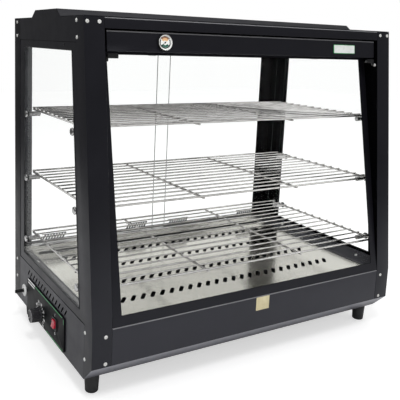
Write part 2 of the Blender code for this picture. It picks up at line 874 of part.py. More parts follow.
def floor():
    low = floor_z - SHEET
    sheet = box(
        (-floor_half_width, floor_front_y, low),
        (floor_half_width, rail_inner_y, floor_z),
    )
    plate = node("floor_plate", sheet, "steel")
    slots = bmesh.new()
    count = round(2 * (floor_half_width - FLOOR_SLOT_MARGIN) / FLOOR_SLOT_PITCH) + 1
    first_x = -FLOOR_SLOT_SHIFT - FLOOR_SLOT_PITCH * (count - 1) / 2
    for share in FLOOR_ROW_SHARES:
        y = front_y + DEPTH * share
        for i in range(count):
            middle = (first_x + FLOOR_SLOT_PITCH * i, y)
            ring = obround(middle, FLOOR_SLOT_RUN / 2, FLOOR_SLOT_REACH / 2, FLOOR_SLOT_WIDTH)
            add_slot(slots, ring, low - OVERRUN, floor_z + OVERRUN)
    cut(plate, cutter("floor_slots", slots))


def add_slot(bm, ring, low, high):
    face = bm.faces.new([bm.verts.new((x, y, low)) for x, y in ring])
    grown = bmesh.ops.extrude_face_region(bm, geom=[face], use_keep_orig=True)["geom"]
    moved = [item for item in grown if isinstance(item, bmesh.types.BMVert)]
    bmesh.ops.translate(bm, verts=moved, vec=(0, 0, high - low))


def ledges():
    """Strips that rise from the floor to the side glass and carry its lower edge."""
    front = glass_back_y(ledge_top_z) + GAP
    rear = track_front_y - GAP
    level = floor_z + GAP + SHEET
    for side, name in ((-1, "left_ledge"), (1, "right_ledge")):
        run = [
            (ledge_foot_x - LEDGE_FLANGE, level),
            (ledge_foot_x, level),
            (ledge_wall_x - LEDGE_SHOULDER, ledge_top_z),
            (ledge_wall_x, ledge_top_z),
            (ledge_wall_x, seat_z),
            (side_glass_outer, seat_z),
        ]
        outline = [(side * x, z) for x, z in folded(run, -SHEET)]
        node(name, prism(outline, "Y", front, rear), "steel")


def door_tracks():
    across = inner_half_width
    y0 = track_front_y
    y1 = y0 + TRACK_RIB
    y2 = y1 + groove
    y3 = y2 + TRACK_LAND
    y4 = y3 + groove
    y5 = y4 + TRACK_RIB
    low, top, bottom = floor_z + GAP, sill_z, sill_z - TRACK_GROOVE
    outline = [
        (y0, low),
        (y0, top),
        (y1, top),
        (y1, bottom),
        (y2, bottom),
        (y2, top),
        (y3, top),
        (y3, bottom),
        (y4, bottom),
        (y4, top),
        (y5, top),
        (y5, low),
    ]
    node("lower_door_track", prism(outline, "X", -across, across), "steel")
    low, top = upper_track_bottom, upper_track_top
    groove_top = low + TRACK_GROOVE
    outline = [
        (y0, top),
        (y0, low),
        (y1, low),
        (y1, groove_top),
        (y2, groove_top),
        (y2, low),
        (y3, low),
        (y3, groove_top),
        (y4, groove_top),
        (y4, low),
        (y5, low),
        (y5, top),
    ]
    node("upper_door_track", prism(outline, "X", -across, across), "steel")


def doors():
    y1 = track_front_y + TRACK_RIB + DOOR_RUNNING_GAP
    y3 = y1 + groove + TRACK_LAND
    lap = DOOR_OVERLAP / 2
    right = box((-lap, y1, door_bottom), (door_end, y1 + GLASS, door_top))
    node("right_door", right, "glass")
    left = box((-door_end, y3, door_bottom), (lap, y3 + GLASS, door_top))
    node("left_door", left, "glass")


def lamp():
    """Tube lamp on two holders under the ceiling, hidden behind the header."""
    y = glass_back_y(ceiling_z) + LAMP_BEHIND_GLASS
    z = ceiling_z - LAMP_BELOW_CEILING
    half = half_width - LAMP_END
    bm = bmesh.new()
    add_rod(bm, (-half, y, z), (half, y, z), LAMP_RADIUS, 12)
    tube = node("lamp", bm, "lamp_glass", True)
    holders = bmesh.new()
    for side in (-1, 1):
        inner, outer = side * (half - LAMP_HOLDER_THICK / 2), side * (half + LAMP_HOLDER_THICK / 2)
        add_box(
            holders,
            (min(inner, outer), y - LAMP_HOLDER / 2, z - LAMP_HOLDER / 2),
            (max(inner, outer), y + LAMP_HOLDER / 2, ceiling_z - GAP),
        )
    cut(tube, cutter("lamp_holders", holders), "UNION")


def shelves():
    names = ("lower_shelf", "middle_shelf", "upper_shelf")
    for name, height in zip(names, SHELF_HEIGHTS):
        z = deck_z + height
        front = glass_back_y(z + ROD_RADIUS) + SHELF_FRONT_GAP + EDGE_ROD_RADIUS
        rear = rear_y - SHELF_REAR
        count = round((rear - front) / SHELF_PITCH) + 1
        pitch = (rear - front) / (count - 1)
        cross_z = z - ROD_RADIUS - CROSS_RADIUS + WELD
        end_x = shelf_half_width - CROSS_END_INSET
        lengths = [end_x * share for share in CROSS_SHARES]
        shelf = None
        for i, x in enumerate(lengths):
            bm = bmesh.new()
            start = (x, front - EDGE_ROD_RADIUS / 2, cross_z)
            end = (x, rear + EDGE_ROD_RADIUS / 2, cross_z)
            add_rod(bm, start, end, CROSS_RADIUS, 6)
            if shelf is None:
                shelf = node(name, bm, "chrome", True)
            else:
                cut(shelf, cutter(f"{name}_cross_{i}", bm), "UNION")
        rods = bmesh.new()
        for i in range(count):
            y = front + pitch * i
            radius = EDGE_ROD_RADIUS if i in (0, count - 1) else ROD_RADIUS
            start, end = (-shelf_half_width, y, z), (shelf_half_width, y, z)
            add_rod(rods, start, end, radius, 6)
        cut(shelf, cutter(name + "_rods", rods), "UNION")


def feet():
    places = {
        "foot_front_left": (-1, -1),
        "foot_front_right": (1, -1),
        "foot_rear_left": (-1, 1),
        "foot_rear_right": (1, 1),
    }
    for name, (side, end) in places.items():
        x = side * (half_width - FOOT_INSET_X)
        y = end * (DEPTH / 2 - FOOT_INSET_Y)
        profile = [
            (0, 0),
            (FOOT_BOTTOM_RADIUS - FOOT_BEVEL, 0),
            (FOOT_BOTTOM_RADIUS, FOOT_BEVEL),
            (FOOT_TOP_RADIUS, base_z - GAP),
            (0, base_z - GAP),
        ]
        node(name, turned(profile, 20, (x, y, 0), (0, 0, 1)), "rubber", True)


def control_plate():
    front, rear = plate_front_y, plate_rear_y
    high = plate_low_z + PLATE_HEIGHT
    corners = [
        (front + PLATE_CORNER, plate_low_z + PLATE_CORNER, math.pi),
        (rear - PLATE_CORNER, plate_low_z + PLATE_CORNER, -math.pi / 2),
        (rear - PLATE_CORNER, high - PLATE_CORNER, 0),
        (front + PLATE_CORNER, high - PLATE_CORNER, math.pi / 2),
    ]
    outline = []
    for y, z, start in corners:
        for step in range(5):
            angle = start + math.pi / 2 * step / 4
            outline.append((y + PLATE_CORNER * math.cos(angle), z + PLATE_CORNER * math.sin(angle)))
    outer = prism(outline, "X", -plate_out, -half_width - GAP)
    plate = node("control_plate", outer, "plate")
    cut(plate, cutter("control_plate_cutouts", control_holes()))


def thermostat():
    """Body behind the panel, and the knob with its shaft through the plate."""
    inner = -half_width + SHEET + GAP
    half = THERMOSTAT_SIDE / 2
    block = box(
        (inner, knob_y - half, knob_z - half),
        (inner + THERMOSTAT_DEPTH, knob_y + half, knob_z + half),
    )
    body = node("thermostat_body", block, "ceramic")
    start = -plate_out - GAP
    pivot = (start, knob_y, knob_z)
    bore = bmesh.new()
    end = (start + SHAFT_REACH + SHAFT_CLEARANCE, knob_y, knob_z)
    add_rod(bore, pivot, end, SHAFT_RADIUS + SHAFT_CLEARANCE, 16)
    cut(body, cutter("thermostat_bore", bore))
    rim = KNOB_LENGTH / 8
    profile = [
        (0, -SHAFT_REACH),
        (SHAFT_RADIUS, -SHAFT_REACH),
        (SHAFT_RADIUS, 0),
        (KNOB_RADIUS, 0),
        (KNOB_RADIUS, rim),
        (KNOB_TIP_RADIUS, KNOB_LENGTH - rim),
        (KNOB_TIP_RADIUS - rim, KNOB_LENGTH),
        (0, KNOB_LENGTH),
    ]
    bm = turned(profile, KNOB_SIDES, pivot, (-1, 0, 0))
    node("thermostat_knob", bm, "black_plastic", False, pivot)


def switch():
    outer = -plate_out - GAP
    wide, tall = SWITCH_FLANGE_WIDTH / 2, SWITCH_FLANGE_HEIGHT / 2
    flange = box(
        (outer - SWITCH_FLANGE, switch_y - wide, switch_z - tall),
        (outer, switch_y + wide, switch_z + tall),
    )
    body = node("switch_body", flange, "black_plastic")
    wide, tall = SWITCH_BODY_WIDTH / 2, SWITCH_BODY_HEIGHT / 2
    inside = box(
        (outer - SWITCH_FLANGE / 2, switch_y - wide, switch_z - tall),
        (outer + SWITCH_BODY_DEPTH, switch_y + wide, switch_z + tall),
    )
    cut(body, cutter("switch_housing", inside), "UNION")
    wide, tall = wide - SWITCH_WALL, tall - SWITCH_WALL
    well = box(
        (outer - SWITCH_FLANGE - OVERRUN, switch_y - wide, switch_z - tall),
        (outer + SWITCH_WELL, switch_y + wide, switch_z + tall),
    )
    cut(body, cutter("switch_well", well))
    pivot = (outer + ROCKER_CORE / 2, switch_y, switch_z)
    wide -= ROCKER_CLEARANCE
    reach = tall - ROCKER_END_CLEARANCE
    face = SWITCH_FLANGE + ROCKER_PROUD + ROCKER_CORE / 2
    dish = math.tan(math.radians(ROCKER_TILT_DEG)) * reach
    outline = [
        (-face, -reach),
        (-face + dish, 0),
        (-face, reach),
        (ROCKER_CORE / 2, reach - ROCKER_CORE / 2),
        (ROCKER_CORE, 0),
        (ROCKER_CORE / 2, -reach + ROCKER_CORE / 2),
    ]
    turn = Matrix.Rotation(math.radians(ROCKER_TILT_DEG), 4, "Y")
    bm = prism(outline, "Y", -wide, wide)
    bmesh.ops.transform(bm, matrix=Matrix.Translation(pivot) @ turn, verts=bm.verts)
    node("power_rocker", bm, "red_plastic", False, pivot)


def gland():
    """Locknut disc and short sleeve, with a threaded stub through the panel."""
    start = -half_width - GAP
    profile = [
        (0, -GLAND_STUB),
        (GLAND_STUB_RADIUS, -GLAND_STUB),
        (GLAND_STUB_RADIUS, 0),
        (GLAND_DISC_RADIUS, 0),
        (GLAND_DISC_RADIUS, GLAND_DISC * 2 / 3),
        (GLAND_DISC_RADIUS - GLAND_DISC / 3, GLAND_DISC),
        (GLAND_SLEEVE_RADIUS, GLAND_DISC),
        (GLAND_SLEEVE_RADIUS, GLAND_DISC + GLAND_SLEEVE),
        (GLAND_BORE_RADIUS, GLAND_DISC + GLAND_SLEEVE),
        (GLAND_BORE_RADIUS, GLAND_DISC + GLAND_SLEEVE - GLAND_BORE_DEPTH),
        (0, GLAND_DISC + GLAND_SLEEVE - GLAND_BORE_DEPTH),
    ]
    bm = turned(profile, 20, (start, gland_y, gland_z), (-1, 0, 0))
    node("cable_gland", bm, "pale_plastic", True)


def heaters():
    """Two tubular elements on sheet brackets that stand on the pan."""
    z = base_z + HEATER_HEIGHT
    for end, name in ((-1, "front_heater"), (1, "rear_heater")):
        y = end * HEATER_OFFSET
        half = half_width - HEATER_END
        near, far = y - HEATER_LOOP / 2, y + HEATER_LOOP / 2
        run = [(half, near), (-half, near)]
        for step in range(1, 6):
            angle = math.pi / 2 + math.pi * step / 6
            x = -half + HEATER_LOOP / 2 * math.cos(angle)
            run.append((x, y - HEATER_LOOP / 2 * math.sin(angle)))
        run += [(-half, far), (half, far)]
        curve = bpy.data.curves.new(name, "CURVE")
        curve.dimensions = "3D"
        curve.bevel_depth = HEATER_RADIUS
        curve.bevel_resolution = 2
        curve.use_fill_caps = True
        spline = curve.splines.new("POLY")
        spline.points.add(len(run) - 1)
        for point, (x, place) in zip(spline.points, run):
            point.co = (x, place, z, 1)
        guide = bpy.data.objects.new(name + "_run", curve)
        mesh = bpy.data.meshes.new_from_object(guide)
        bpy.data.objects.remove(guide)
        bm = bmesh.new()
        bm.from_mesh(mesh)
        bpy.data.meshes.remove(mesh)
        bmesh.ops.remove_doubles(bm, verts=bm.verts, dist=GAP / 10)
        tube = node(name, bm, "dark_steel", True)
        stands = bmesh.new()
        for side in (-1, 1):
            x = side * (half - HEATER_BRACKET_INSET)
            add_box(
                stands,
                (x - HEATER_BRACKET / 2, y - HEATER_BRACKET_DEPTH / 2, pan_top + GAP),
                (x + HEATER_BRACKET / 2, y + HEATER_BRACKET_DEPTH / 2, z),
            )
        cut(tube, cutter(name + "_stands", stands), "UNION")


def terminal_block():
    x = -half_width + TERMINAL_INSET
    y = gland_y
    node(
        "terminal_block",
        box(
            (x, y - TERMINAL_LENGTH / 2, pan_top + GAP),
            (x + TERMINAL_DEPTH, y + TERMINAL_LENGTH / 2, pan_top + GAP + TERMINAL_HEIGHT),
        ),
        "ceramic",
    )


clear_scene()
cabinet = bpy.data.objects.new("cabinet_frame", None)
bpy.context.scene.collection.objects.link(cabinet)
cabinet.location = (shift_x, 0, 0)

base_pan()
base_front_panel()
base_side_panel(-1, "base_left_panel", True)
base_side_panel(1, "base_right_panel", False)
base_rear_panel()
front_posts()
rear_posts()
window_frames()
header()
top_panels()
roof_and_rear()
ceiling()
floor()
ledges()
door_tracks()
front_glass()
side_glasses()
shelf_studs()
feet()
control_plate()
gland()
terminal_block()
heaters()
lamp()
thermometer()
thermostat()
switch()
doors()
shelves()
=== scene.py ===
import json
import math

import bmesh
import bpy
from mathutils import Matrix, Vector

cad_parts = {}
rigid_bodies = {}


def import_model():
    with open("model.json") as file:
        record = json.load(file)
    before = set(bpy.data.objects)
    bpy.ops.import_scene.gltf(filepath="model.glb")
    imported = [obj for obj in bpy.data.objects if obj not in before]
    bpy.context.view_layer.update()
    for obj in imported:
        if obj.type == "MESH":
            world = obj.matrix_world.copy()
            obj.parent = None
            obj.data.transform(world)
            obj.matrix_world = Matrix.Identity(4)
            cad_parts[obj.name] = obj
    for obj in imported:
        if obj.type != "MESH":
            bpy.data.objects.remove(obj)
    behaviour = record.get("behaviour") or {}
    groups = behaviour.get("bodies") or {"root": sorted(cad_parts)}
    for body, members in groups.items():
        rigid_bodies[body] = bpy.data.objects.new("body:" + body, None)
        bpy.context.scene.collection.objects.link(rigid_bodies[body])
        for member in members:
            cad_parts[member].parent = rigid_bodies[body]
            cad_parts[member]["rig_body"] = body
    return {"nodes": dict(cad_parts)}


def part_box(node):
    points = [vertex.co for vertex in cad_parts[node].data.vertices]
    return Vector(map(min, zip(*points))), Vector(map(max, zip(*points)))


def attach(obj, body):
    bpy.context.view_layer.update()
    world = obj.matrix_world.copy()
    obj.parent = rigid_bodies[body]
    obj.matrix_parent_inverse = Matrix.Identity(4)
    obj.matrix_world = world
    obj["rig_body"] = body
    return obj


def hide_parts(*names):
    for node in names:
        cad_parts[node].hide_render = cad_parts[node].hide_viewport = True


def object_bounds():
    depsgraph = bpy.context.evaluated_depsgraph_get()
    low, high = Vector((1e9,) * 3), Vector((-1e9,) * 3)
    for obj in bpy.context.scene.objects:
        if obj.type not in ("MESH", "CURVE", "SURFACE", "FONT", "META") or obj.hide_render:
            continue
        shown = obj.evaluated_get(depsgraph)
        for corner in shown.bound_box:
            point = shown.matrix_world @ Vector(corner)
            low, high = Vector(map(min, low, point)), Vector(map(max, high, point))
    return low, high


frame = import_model()
cadLow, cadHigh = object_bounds()
nodes = frame["nodes"]
bodyOf = {name: node["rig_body"] for name, node in nodes.items()}
print("frame loaded:", len(nodes), "CAD nodes")

mm = 0.001
scene = bpy.context.scene

# the case: middle of its width, its planes, and how far its front leans per metre of height
case = {
    "middleX": sum(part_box("front_glass")[i].x for i in (0, 1)) / 2,
    "halfWidth": 450 * mm,
    "front": -275 * mm,
    "rear": 275 * mm,
    "deck": 172 * mm,
    "lean": 0.11488,
    "bandRecess": 6 * mm,
}


def postFront(z):
    return case["front"] + case["lean"] * max(0, z - case["deck"])


def acrossAt(x):
    return case["middleX"] + x


cameraSetup = {
    "place": (-0.914708, -1.346503, 0.774159),
    "turns": (-9.00174, 2.76043, -29.08216),
    "lens": 54.2203,
    "shift": (0.11926, -0.15297),
}


def makeCamera():
    turnX, turnY, turnZ = (math.radians(angle) for angle in cameraSetup["turns"])
    turn = (
        Matrix.Rotation(turnX, 3, "X")
        @ Matrix.Rotation(turnY, 3, "Y")
        @ Matrix.Rotation(turnZ, 3, "Z")
    )
    right, ahead, up = (turn @ Vector(axis) for axis in ((1, 0, 0), (0, 1, 0), (0, 0, 1)))
    data = bpy.data.cameras.new("photoCamera")
    data.sensor_width = 36
    data.lens = cameraSetup["lens"]
    data.shift_x, data.shift_y = cameraSetup["shift"]
    data.clip_start = 0.01
    camera = bpy.data.objects.new("photoCamera", data)
    scene.collection.objects.link(camera)
    place = Matrix.Translation(cameraSetup["place"])
    camera.matrix_world = place @ Matrix((right, up, -ahead)).transposed().to_4x4()
    scene.camera = camera
    scene.view_settings.view_transform = "Standard"


makeCamera()
print("camera placed")


# shader helpers
def fed(made, node, values):
    # a value that is a node or an output is joined to its socket, any other is set
    for name, value in values.items():
        if isinstance(value, bpy.types.Node):
            value = value.outputs[0]
        if isinstance(value, bpy.types.NodeSocket):
            made.node_tree.links.new(value, node.inputs[name])
        else:
            node.inputs[name].default_value = value
    return node


def added(made, kind, values=None, **settings):
    new = made.node_tree.nodes.new("ShaderNode" + kind)
    for name, value in settings.items():
        setattr(new, name, value)
    return fed(made, new, values or {})


def worked(made, operation, first, second, **settings):
    return added(made, "Math", {0: first, 1: second}, operation=operation, **settings)


def remapped(made, source, fromMin, fromMax, toMin=0, toMax=1, **settings):
    span = {"From Min": fromMin, "From Max": fromMax, "To Min": toMin, "To Max": toMax}
    return added(made, "MapRange", {"Value": source, **span}, **settings)


def blended(made, share, first, second):
    # only the first shader where the share is 0, only the second where it is 1
    return added(made, "MixShader", {0: share, 1: first, 2: second})


def surfaced(made, shader):
    fed(made, made.node_tree.nodes["Material Output"], {"Surface": shader})


def principled(made):
    return made.node_tree.nodes["Principled BSDF"]


def plainMaterial(name, colour, roughness, values=None):
    made = bpy.data.materials.new(name)
    made.use_nodes = True
    start = {"Base Color": (*colour, 1), "Roughness": roughness, **(values or {})}
    fed(made, principled(made), start)
    return made


def objectPlace(made):
    return added(made, "TexCoord").outputs["Object"]


def grain(made, scale, stretch=(1, 1, 1), detail=3.0, roughness=0.55):
    # noise on the piece's own coordinates, in metres
    mapping = added(made, "Mapping", {"Vector": objectPlace(made), "Scale": stretch})
    noise = {"Vector": mapping, "Scale": scale, "Detail": detail, "Roughness": roughness}
    return added(made, "TexNoise", noise)


def varyRoughness(made, source, low, high, start=0.3, end=0.7):
    fed(made, principled(made), {"Roughness": remapped(made, source, start, end, low, high)})


def varyColour(made, source, dark, light, start=0.3, end=0.7):
    ramp = added(made, "ValToRGB", {"Fac": source})
    stops = ramp.color_ramp.elements
    for stop, position, colour in zip(stops, (start, end), (dark, light)):
        stop.position = position
        stop.color = (*colour, 1)
    fed(made, principled(made), {"Base Color": ramp})
    return stops


def addBump(made, source, strength, distance):
    bump = {"Height": source, "Strength": strength, "Distance": distance}
    fed(made, principled(made), {"Normal": added(made, "Bump", bump)})


def powderTexture(made, roughness):
    varyRoughness(made, grain(made, 26.0, detail=4.0), roughness - 0.05, roughness + 0.05)
    addBump(made, grain(made, 1500.0, detail=2.0), 0.22, 0.12 * mm)


def powderCoat(name, dark, light, roughness, specular):
    # a faint blue cast in the gloss, as on dark powder coats
    gloss = {"Specular IOR Level": specular, "Specular Tint": (0.88, 0.90, 1.0, 1)}
    made = plainMaterial(name, light, roughness, gloss)
    varyColour(made, grain(made, 5.0), dark, light)
    powderTexture(made, roughness)
    return made


def paintedSkirtSheen(name):
    # painted sheen: the slanting front skirt is coloured lighter, most along its upper fold, in place
    # of the table's light reflected there
    made = plainMaterial(name, skirt["light"], skirt["roughness"])
    height = added(made, "SeparateXYZ", {0: objectPlace(made)}).outputs["Z"]
    rise = remapped(made, height, skirt["foot"], skirt["fold"])
    varyColour(made, rise, skirt["dark"], skirt["light"], 0.0, 1.0)
    powderTexture(made, skirt["roughness"])
    return made


def brushedSteel(name, dark, light, roughness, along):
    made = plainMaterial(name, light, roughness, {"Metallic": 1.0})
    stretch = tuple(1.0 if i == along else 40.0 for i in range(3))
    lines = grain(made, 12.0, stretch, detail=2.0, roughness=0.5)
    varyColour(made, grain(made, 4.0, detail=4.0), dark, light)
    varyRoughness(made, lines, roughness - 0.02, roughness + 0.03)
    addBump(made, lines, 0.03, 0.01 * mm)
    return made


def drawnWire(name, dark, light, roughness):
    made = plainMaterial(name, light, roughness, {"Metallic": 1.0})
    varyColour(made, grain(made, 30.0), dark, light)
    varyRoughness(made, grain(made, 90.0), roughness - 0.05, roughness + 0.09)
    addBump(made, grain(made, 700.0, (0.1, 1, 1)), 0.1, 0.03 * mm)
    return made


def moulded(name, dark, light, roughness, bumpScale=900.0, bumpStrength=0.18, values=None):
    made = plainMaterial(name, light, roughness, values)
    varyColour(made, grain(made, 40.0), dark, light)
    varyRoughness(made, grain(made, 130.0), roughness - 0.05, roughness + 0.06)
    addBump(made, grain(made, bumpScale), bumpStrength, 0.08 * mm)
    return made


def paneGlass(name, colour):
    # light from lamps passes straight on, so that what stands behind the pane is lit
    made = plainMaterial(name, colour, 0.0, {"Transmission Weight": 1.0, "IOR": 1.08})
    varyRoughness(made, grain(made, 12.0), 0.0, 0.004, 0.45, 0.75)
    path = added(made, "LightPath").outputs
    through = worked(made, "MAXIMUM", path["Is Shadow Ray"], path["Is Diffuse Ray"])
    clear = added(made, "BsdfTransparent", {"Color": (*colour, 1)})
    surfaced(made, blended(made, through, principled(made), clear))
    return made


def heatedTube(name):
    # straw and blue heat colours in bands along the element
    made = plainMaterial(name, (0.12, 0.11, 0.11), 0.4, {"Metallic": 1.0})
    bands = grain(made, 9.0, (1, 3, 3))
    stops = varyColour(made, bands, (0.07, 0.065, 0.065), (0.16, 0.14, 0.12), 0.3, 0.75)
    stops.new(0.55).color = (0.11, 0.10, 0.12, 1)
    addBump(made, grain(made, 600.0), 0.2, 0.06 * mm)
    return made


# colours of the painted sheen on the skirt, dark at its foot and light at its fold
skirt = {
    "foot": 46 * mm,
    "fold": 87.5 * mm,
    "dark": (0.10, 0.10, 0.12),
    "light": (0.42, 0.42, 0.47),
    "roughness": 0.35,
}

finish = {
    "black": powderCoat("blackPowder", (0.0062, 0.0060, 0.0084), (0.0088, 0.0085, 0.0118), 0.34, 0.60),
    # a lighter, bluer copy of the black coat for the base panels: painted light thrown up from the
    # floor
    "baseFloorLit": powderCoat(
        "baseFloorLitPowder", (0.0086, 0.0083, 0.0122), (0.0122, 0.0117, 0.0170), 0.34, 0.82
    ),
    # near-black coat: painted shade in the gaps at cut edges and on sides that lie in shade
    "paintedShade": powderCoat(
        "paintedShadePowder", (0.0008, 0.0008, 0.0011), (0.0014, 0.0014, 0.0019), 0.46, 0.02
    ),
    # a dimmer black: painted shade on the outer side of the rear left post
    "paintedHalfShade": powderCoat(
        "paintedHalfShadePowder", (0.0026, 0.0025, 0.0034), (0.0038, 0.0037, 0.0050), 0.36, 0.26
    ),
    # the skirt's coat carries painted sheen, rising towards its fold
    "skirt": paintedSkirtSheen("skirtPaintedSheen"),
    # light grey on the rounded top folds: a painted highlight
    "foldHighlight": powderCoat("paintedFoldHighlight", (0.18, 0.18, 0.19), (0.24, 0.24, 0.25), 0.30, 0.50),
    "floorSteel": brushedSteel("floorSteel", (0.54, 0.53, 0.48), (0.61, 0.60, 0.55), 0.16, 0),
    "trackMetal": brushedSteel("trackMetal", (0.60, 0.60, 0.59), (0.70, 0.70, 0.69), 0.25, 0),
    "wire": drawnWire("brightWire", (0.40, 0.39, 0.38), (0.56, 0.55, 0.54), 0.14),
    "chrome": drawnWire("bezelChrome", (0.74, 0.74, 0.74), (0.84, 0.84, 0.84), 0.10),
    "satin": drawnWire("satinTube", (0.34, 0.34, 0.34), (0.44, 0.44, 0.44), 0.28),
    "bezel": moulded("bezelWhite", (0.90, 0.90, 0.90), (0.97, 0.97, 0.97), 0.16),
    "pane": paneGlass("clearPane", (0.992, 0.997, 0.994)),
    "paneEdge": moulded("polishedEdge", (0.010, 0.018, 0.015), (0.020, 0.032, 0.028), 0.24),
    "rubber": moulded("footRubber", (0.016, 0.016, 0.017), (0.026, 0.026, 0.028), 0.52, 500.0, 0.3),
    "plate": powderCoat("printedPlate", (0.0050, 0.0055, 0.0060), (0.0075, 0.0080, 0.0085), 0.40, 0.14),
    "knobBlack": moulded("knobMoulding", (0.020, 0.020, 0.023), (0.032, 0.032, 0.036), 0.24),
    "blackPlastic": moulded("blackMoulding", (0.011, 0.011, 0.012), (0.019, 0.019, 0.020), 0.34),
    "capGrey": moulded("knobCap", (0.20, 0.20, 0.21), (0.28, 0.28, 0.29), 0.32),
    "red": moulded(
        "rockerRed", (0.40, 0.010, 0.032), (0.54, 0.022, 0.050), 0.18, bumpStrength=0.05,
        values={"Coat Weight": 0.6, "Coat Roughness": 0.06},
    ),
    "pale": moulded("glandPale", (0.74, 0.75, 0.75), (0.86, 0.87, 0.86), 0.42),
    "ceramic": moulded("firedCeramic", (0.72, 0.69, 0.62), (0.84, 0.82, 0.77), 0.5, 300.0, 0.3),
    "lampGlass": moulded(
        "frostedTube", (0.88, 0.82, 0.70), (0.95, 0.91, 0.82), 0.3,
        values={"Transmission Weight": 0.55},
    ),
    "heater": heatedTube("heaterTube"),
    "screw": moulded("whiteZinc", (0.66, 0.66, 0.64), (0.86, 0.86, 0.84), 0.3, 400.0, 0.12),
    "darkScrew": moulded("darkScrew", (0.012, 0.012, 0.013), (0.03, 0.03, 0.032), 0.3),
    "badge": moulded("badgePlate", (0.70, 0.73, 0.70), (0.82, 0.85, 0.82), 0.3),
    "label": moulded("labelFoil", (0.66, 0.57, 0.33), (0.80, 0.72, 0.47), 0.36),
    "card": moulded("dialCard", (0.93, 0.93, 0.91), (0.98, 0.98, 0.96), 0.5),
    "orange": moulded("dialOrange", (0.80, 0.46, 0.22), (0.88, 0.54, 0.28), 0.5),
    "brown": moulded("dialBrown", (0.22, 0.10, 0.05), (0.30, 0.14, 0.07), 0.5),
    "teal": moulded("dialTeal", (0.015, 0.10, 0.07), (0.03, 0.14, 0.10), 0.5),
    "green": moulded("printGreen", (0.04, 0.26, 0.09), (0.08, 0.38, 0.15), 0.4),
    "white": moulded("printWhite", (0.86, 0.86, 0.86), (0.95, 0.95, 0.95), 0.45),
    "ink": moulded("printBlack", (0.012, 0.012, 0.012), (0.02, 0.02, 0.02), 0.5),
}
print("finishes made:", len(finish))


# mesh helpers
soft = {
    "cornerSteps": 6,
    "rimSteps": 2,
    "foldSteps": 4,
    "rodRimShare": 0.35,
    "turnWeld": 0.004 * mm,
}


def standing(place, outward):
    # local z points outward, local y up, local x to the right of who looks at it
    z = Vector(outward).normalized()
    x = Vector((0, 0, 1)).cross(z).normalized()
    return Matrix.Translation(place) @ Matrix((x, z.cross(x), z)).transposed().to_4x4()


def shifted(x, y, z):
    return Matrix.Translation((x, y, z))


def spun(degrees):
    return Matrix.Rotation(math.radians(degrees), 4, "Z")


def placed(bm, matrix):
    bmesh.ops.transform(bm, matrix=matrix, verts=bm.verts)
    return bm


def painted(bm, zone):
    for face in bm.faces:
        face.material_index = zone
    return bm


def merge(target, source, matrix):
    step = bpy.data.meshes.new("step")
    placed(source, matrix).to_mesh(step)
    source.free()
    target.from_mesh(step)
    bpy.data.meshes.remove(step)


def rounded(bm, edges, width, segments=soft["foldSteps"], material=-1):
    if edges:
        bmesh.ops.bevel(
            bm, geom=edges, offset=width, affect="EDGES", segments=segments,
            profile=0.5, material=material, clamp_overlap=True,
        )


def block(size, lift=0):
    bm = bmesh.new()
    bmesh.ops.create_cube(bm, size=1)
    bmesh.ops.scale(bm, verts=bm.verts, vec=size)
    bmesh.ops.translate(bm, verts=bm.verts, vec=(0, 0, lift))
    return bm


def roundedBox(size, radius, segments=soft["rimSteps"], zone=0):
    bm = block(size)
    rounded(bm, bm.edges[:], radius, segments)
    return painted(bm, zone)


def roundedPlate(width, height, thick, corner, rim=0, zone=0):
    # a plate with round corners and a soft rim, its back on the plane z = 0
    bm = block((width, height, thick), thick / 2)
    upright = [e for e in bm.edges if abs(e.verts[0].co.z - e.verts[1].co.z) > thick / 2]
    rounded(bm, upright, corner, soft["cornerSteps"])
    if rim:
        top = [e for e in bm.edges if all(v.co.z > thick * 0.9 for v in e.verts)]
        outer = [e for e in top if any(abs(f.normal.z) < 0.5 for f in e.link_faces)]
        rounded(bm, outer, rim, soft["rimSteps"])
    return painted(bm, zone)


def addRod(bm, start, end, radius, sides):
    # a straight round bar with slightly rounded ends
    start, end = Vector(start), Vector(end)
    along = end - start
    bar = bmesh.new()
    bmesh.ops.create_cone(
        bar, cap_ends=True, segments=sides, radius1=radius, radius2=radius, depth=along.length
    )
    caps = {face for face in bar.faces if len(face.verts) > 4}
    rims = [edge for edge in bar.edges if caps & set(edge.link_faces)]
    rounded(bar, rims, radius * soft["rodRimShare"], soft["rimSteps"])
    turn = along.to_track_quat("Z", "Y").to_matrix().to_4x4()
    merge(bm, bar, Matrix.Translation((start + end) / 2) @ turn)


def swept(bm, geom, degrees, steps):
    angle, full = math.radians(degrees), degrees == 360
    bmesh.ops.spin(
        bm, geom=geom, cent=(0, 0, 0), axis=(0, 0, 1), angle=angle, steps=steps, use_merge=full
    )


def outlineOf(size, parts):
    # steps outward and up, in millimetres, from a named radius and a named height, or from 0
    points = []
    for radius, height, *steps in parts:
        start, foot = (size[key] if key else 0 for key in (radius, height))
        points += [(start + out * mm, foot + up * mm) for out, up in steps]
    return points


def turned(profile, steps, zoneAt=None):
    # a body turned about z from (radius, height) points, closed on the axis at both ends
    profile = [(0, profile[0][1]), *profile]
    if profile[-1][0]:
        profile.append((0, profile[-1][1]))
    bm = bmesh.new()
    ring = [bm.verts.new((radius, 0, height)) for radius, height in profile]
    edges = [bm.edges.new(pair) for pair in zip(ring, ring[1:])]
    swept(bm, ring + edges, 360, steps)
    bmesh.ops.remove_doubles(bm, verts=bm.verts, dist=soft["turnWeld"])
    bmesh.ops.recalc_face_normals(bm, faces=bm.faces)
    if zoneAt:
        for face in bm.faces:
            middle = face.calc_center_median()
            face.material_index = zoneAt(math.hypot(middle.x, middle.y), middle.z)
    return bm


def lathed(size, zoneAt=None):
    return turned(outlineOf(size, size["outline"]), size["steps"], zoneAt)


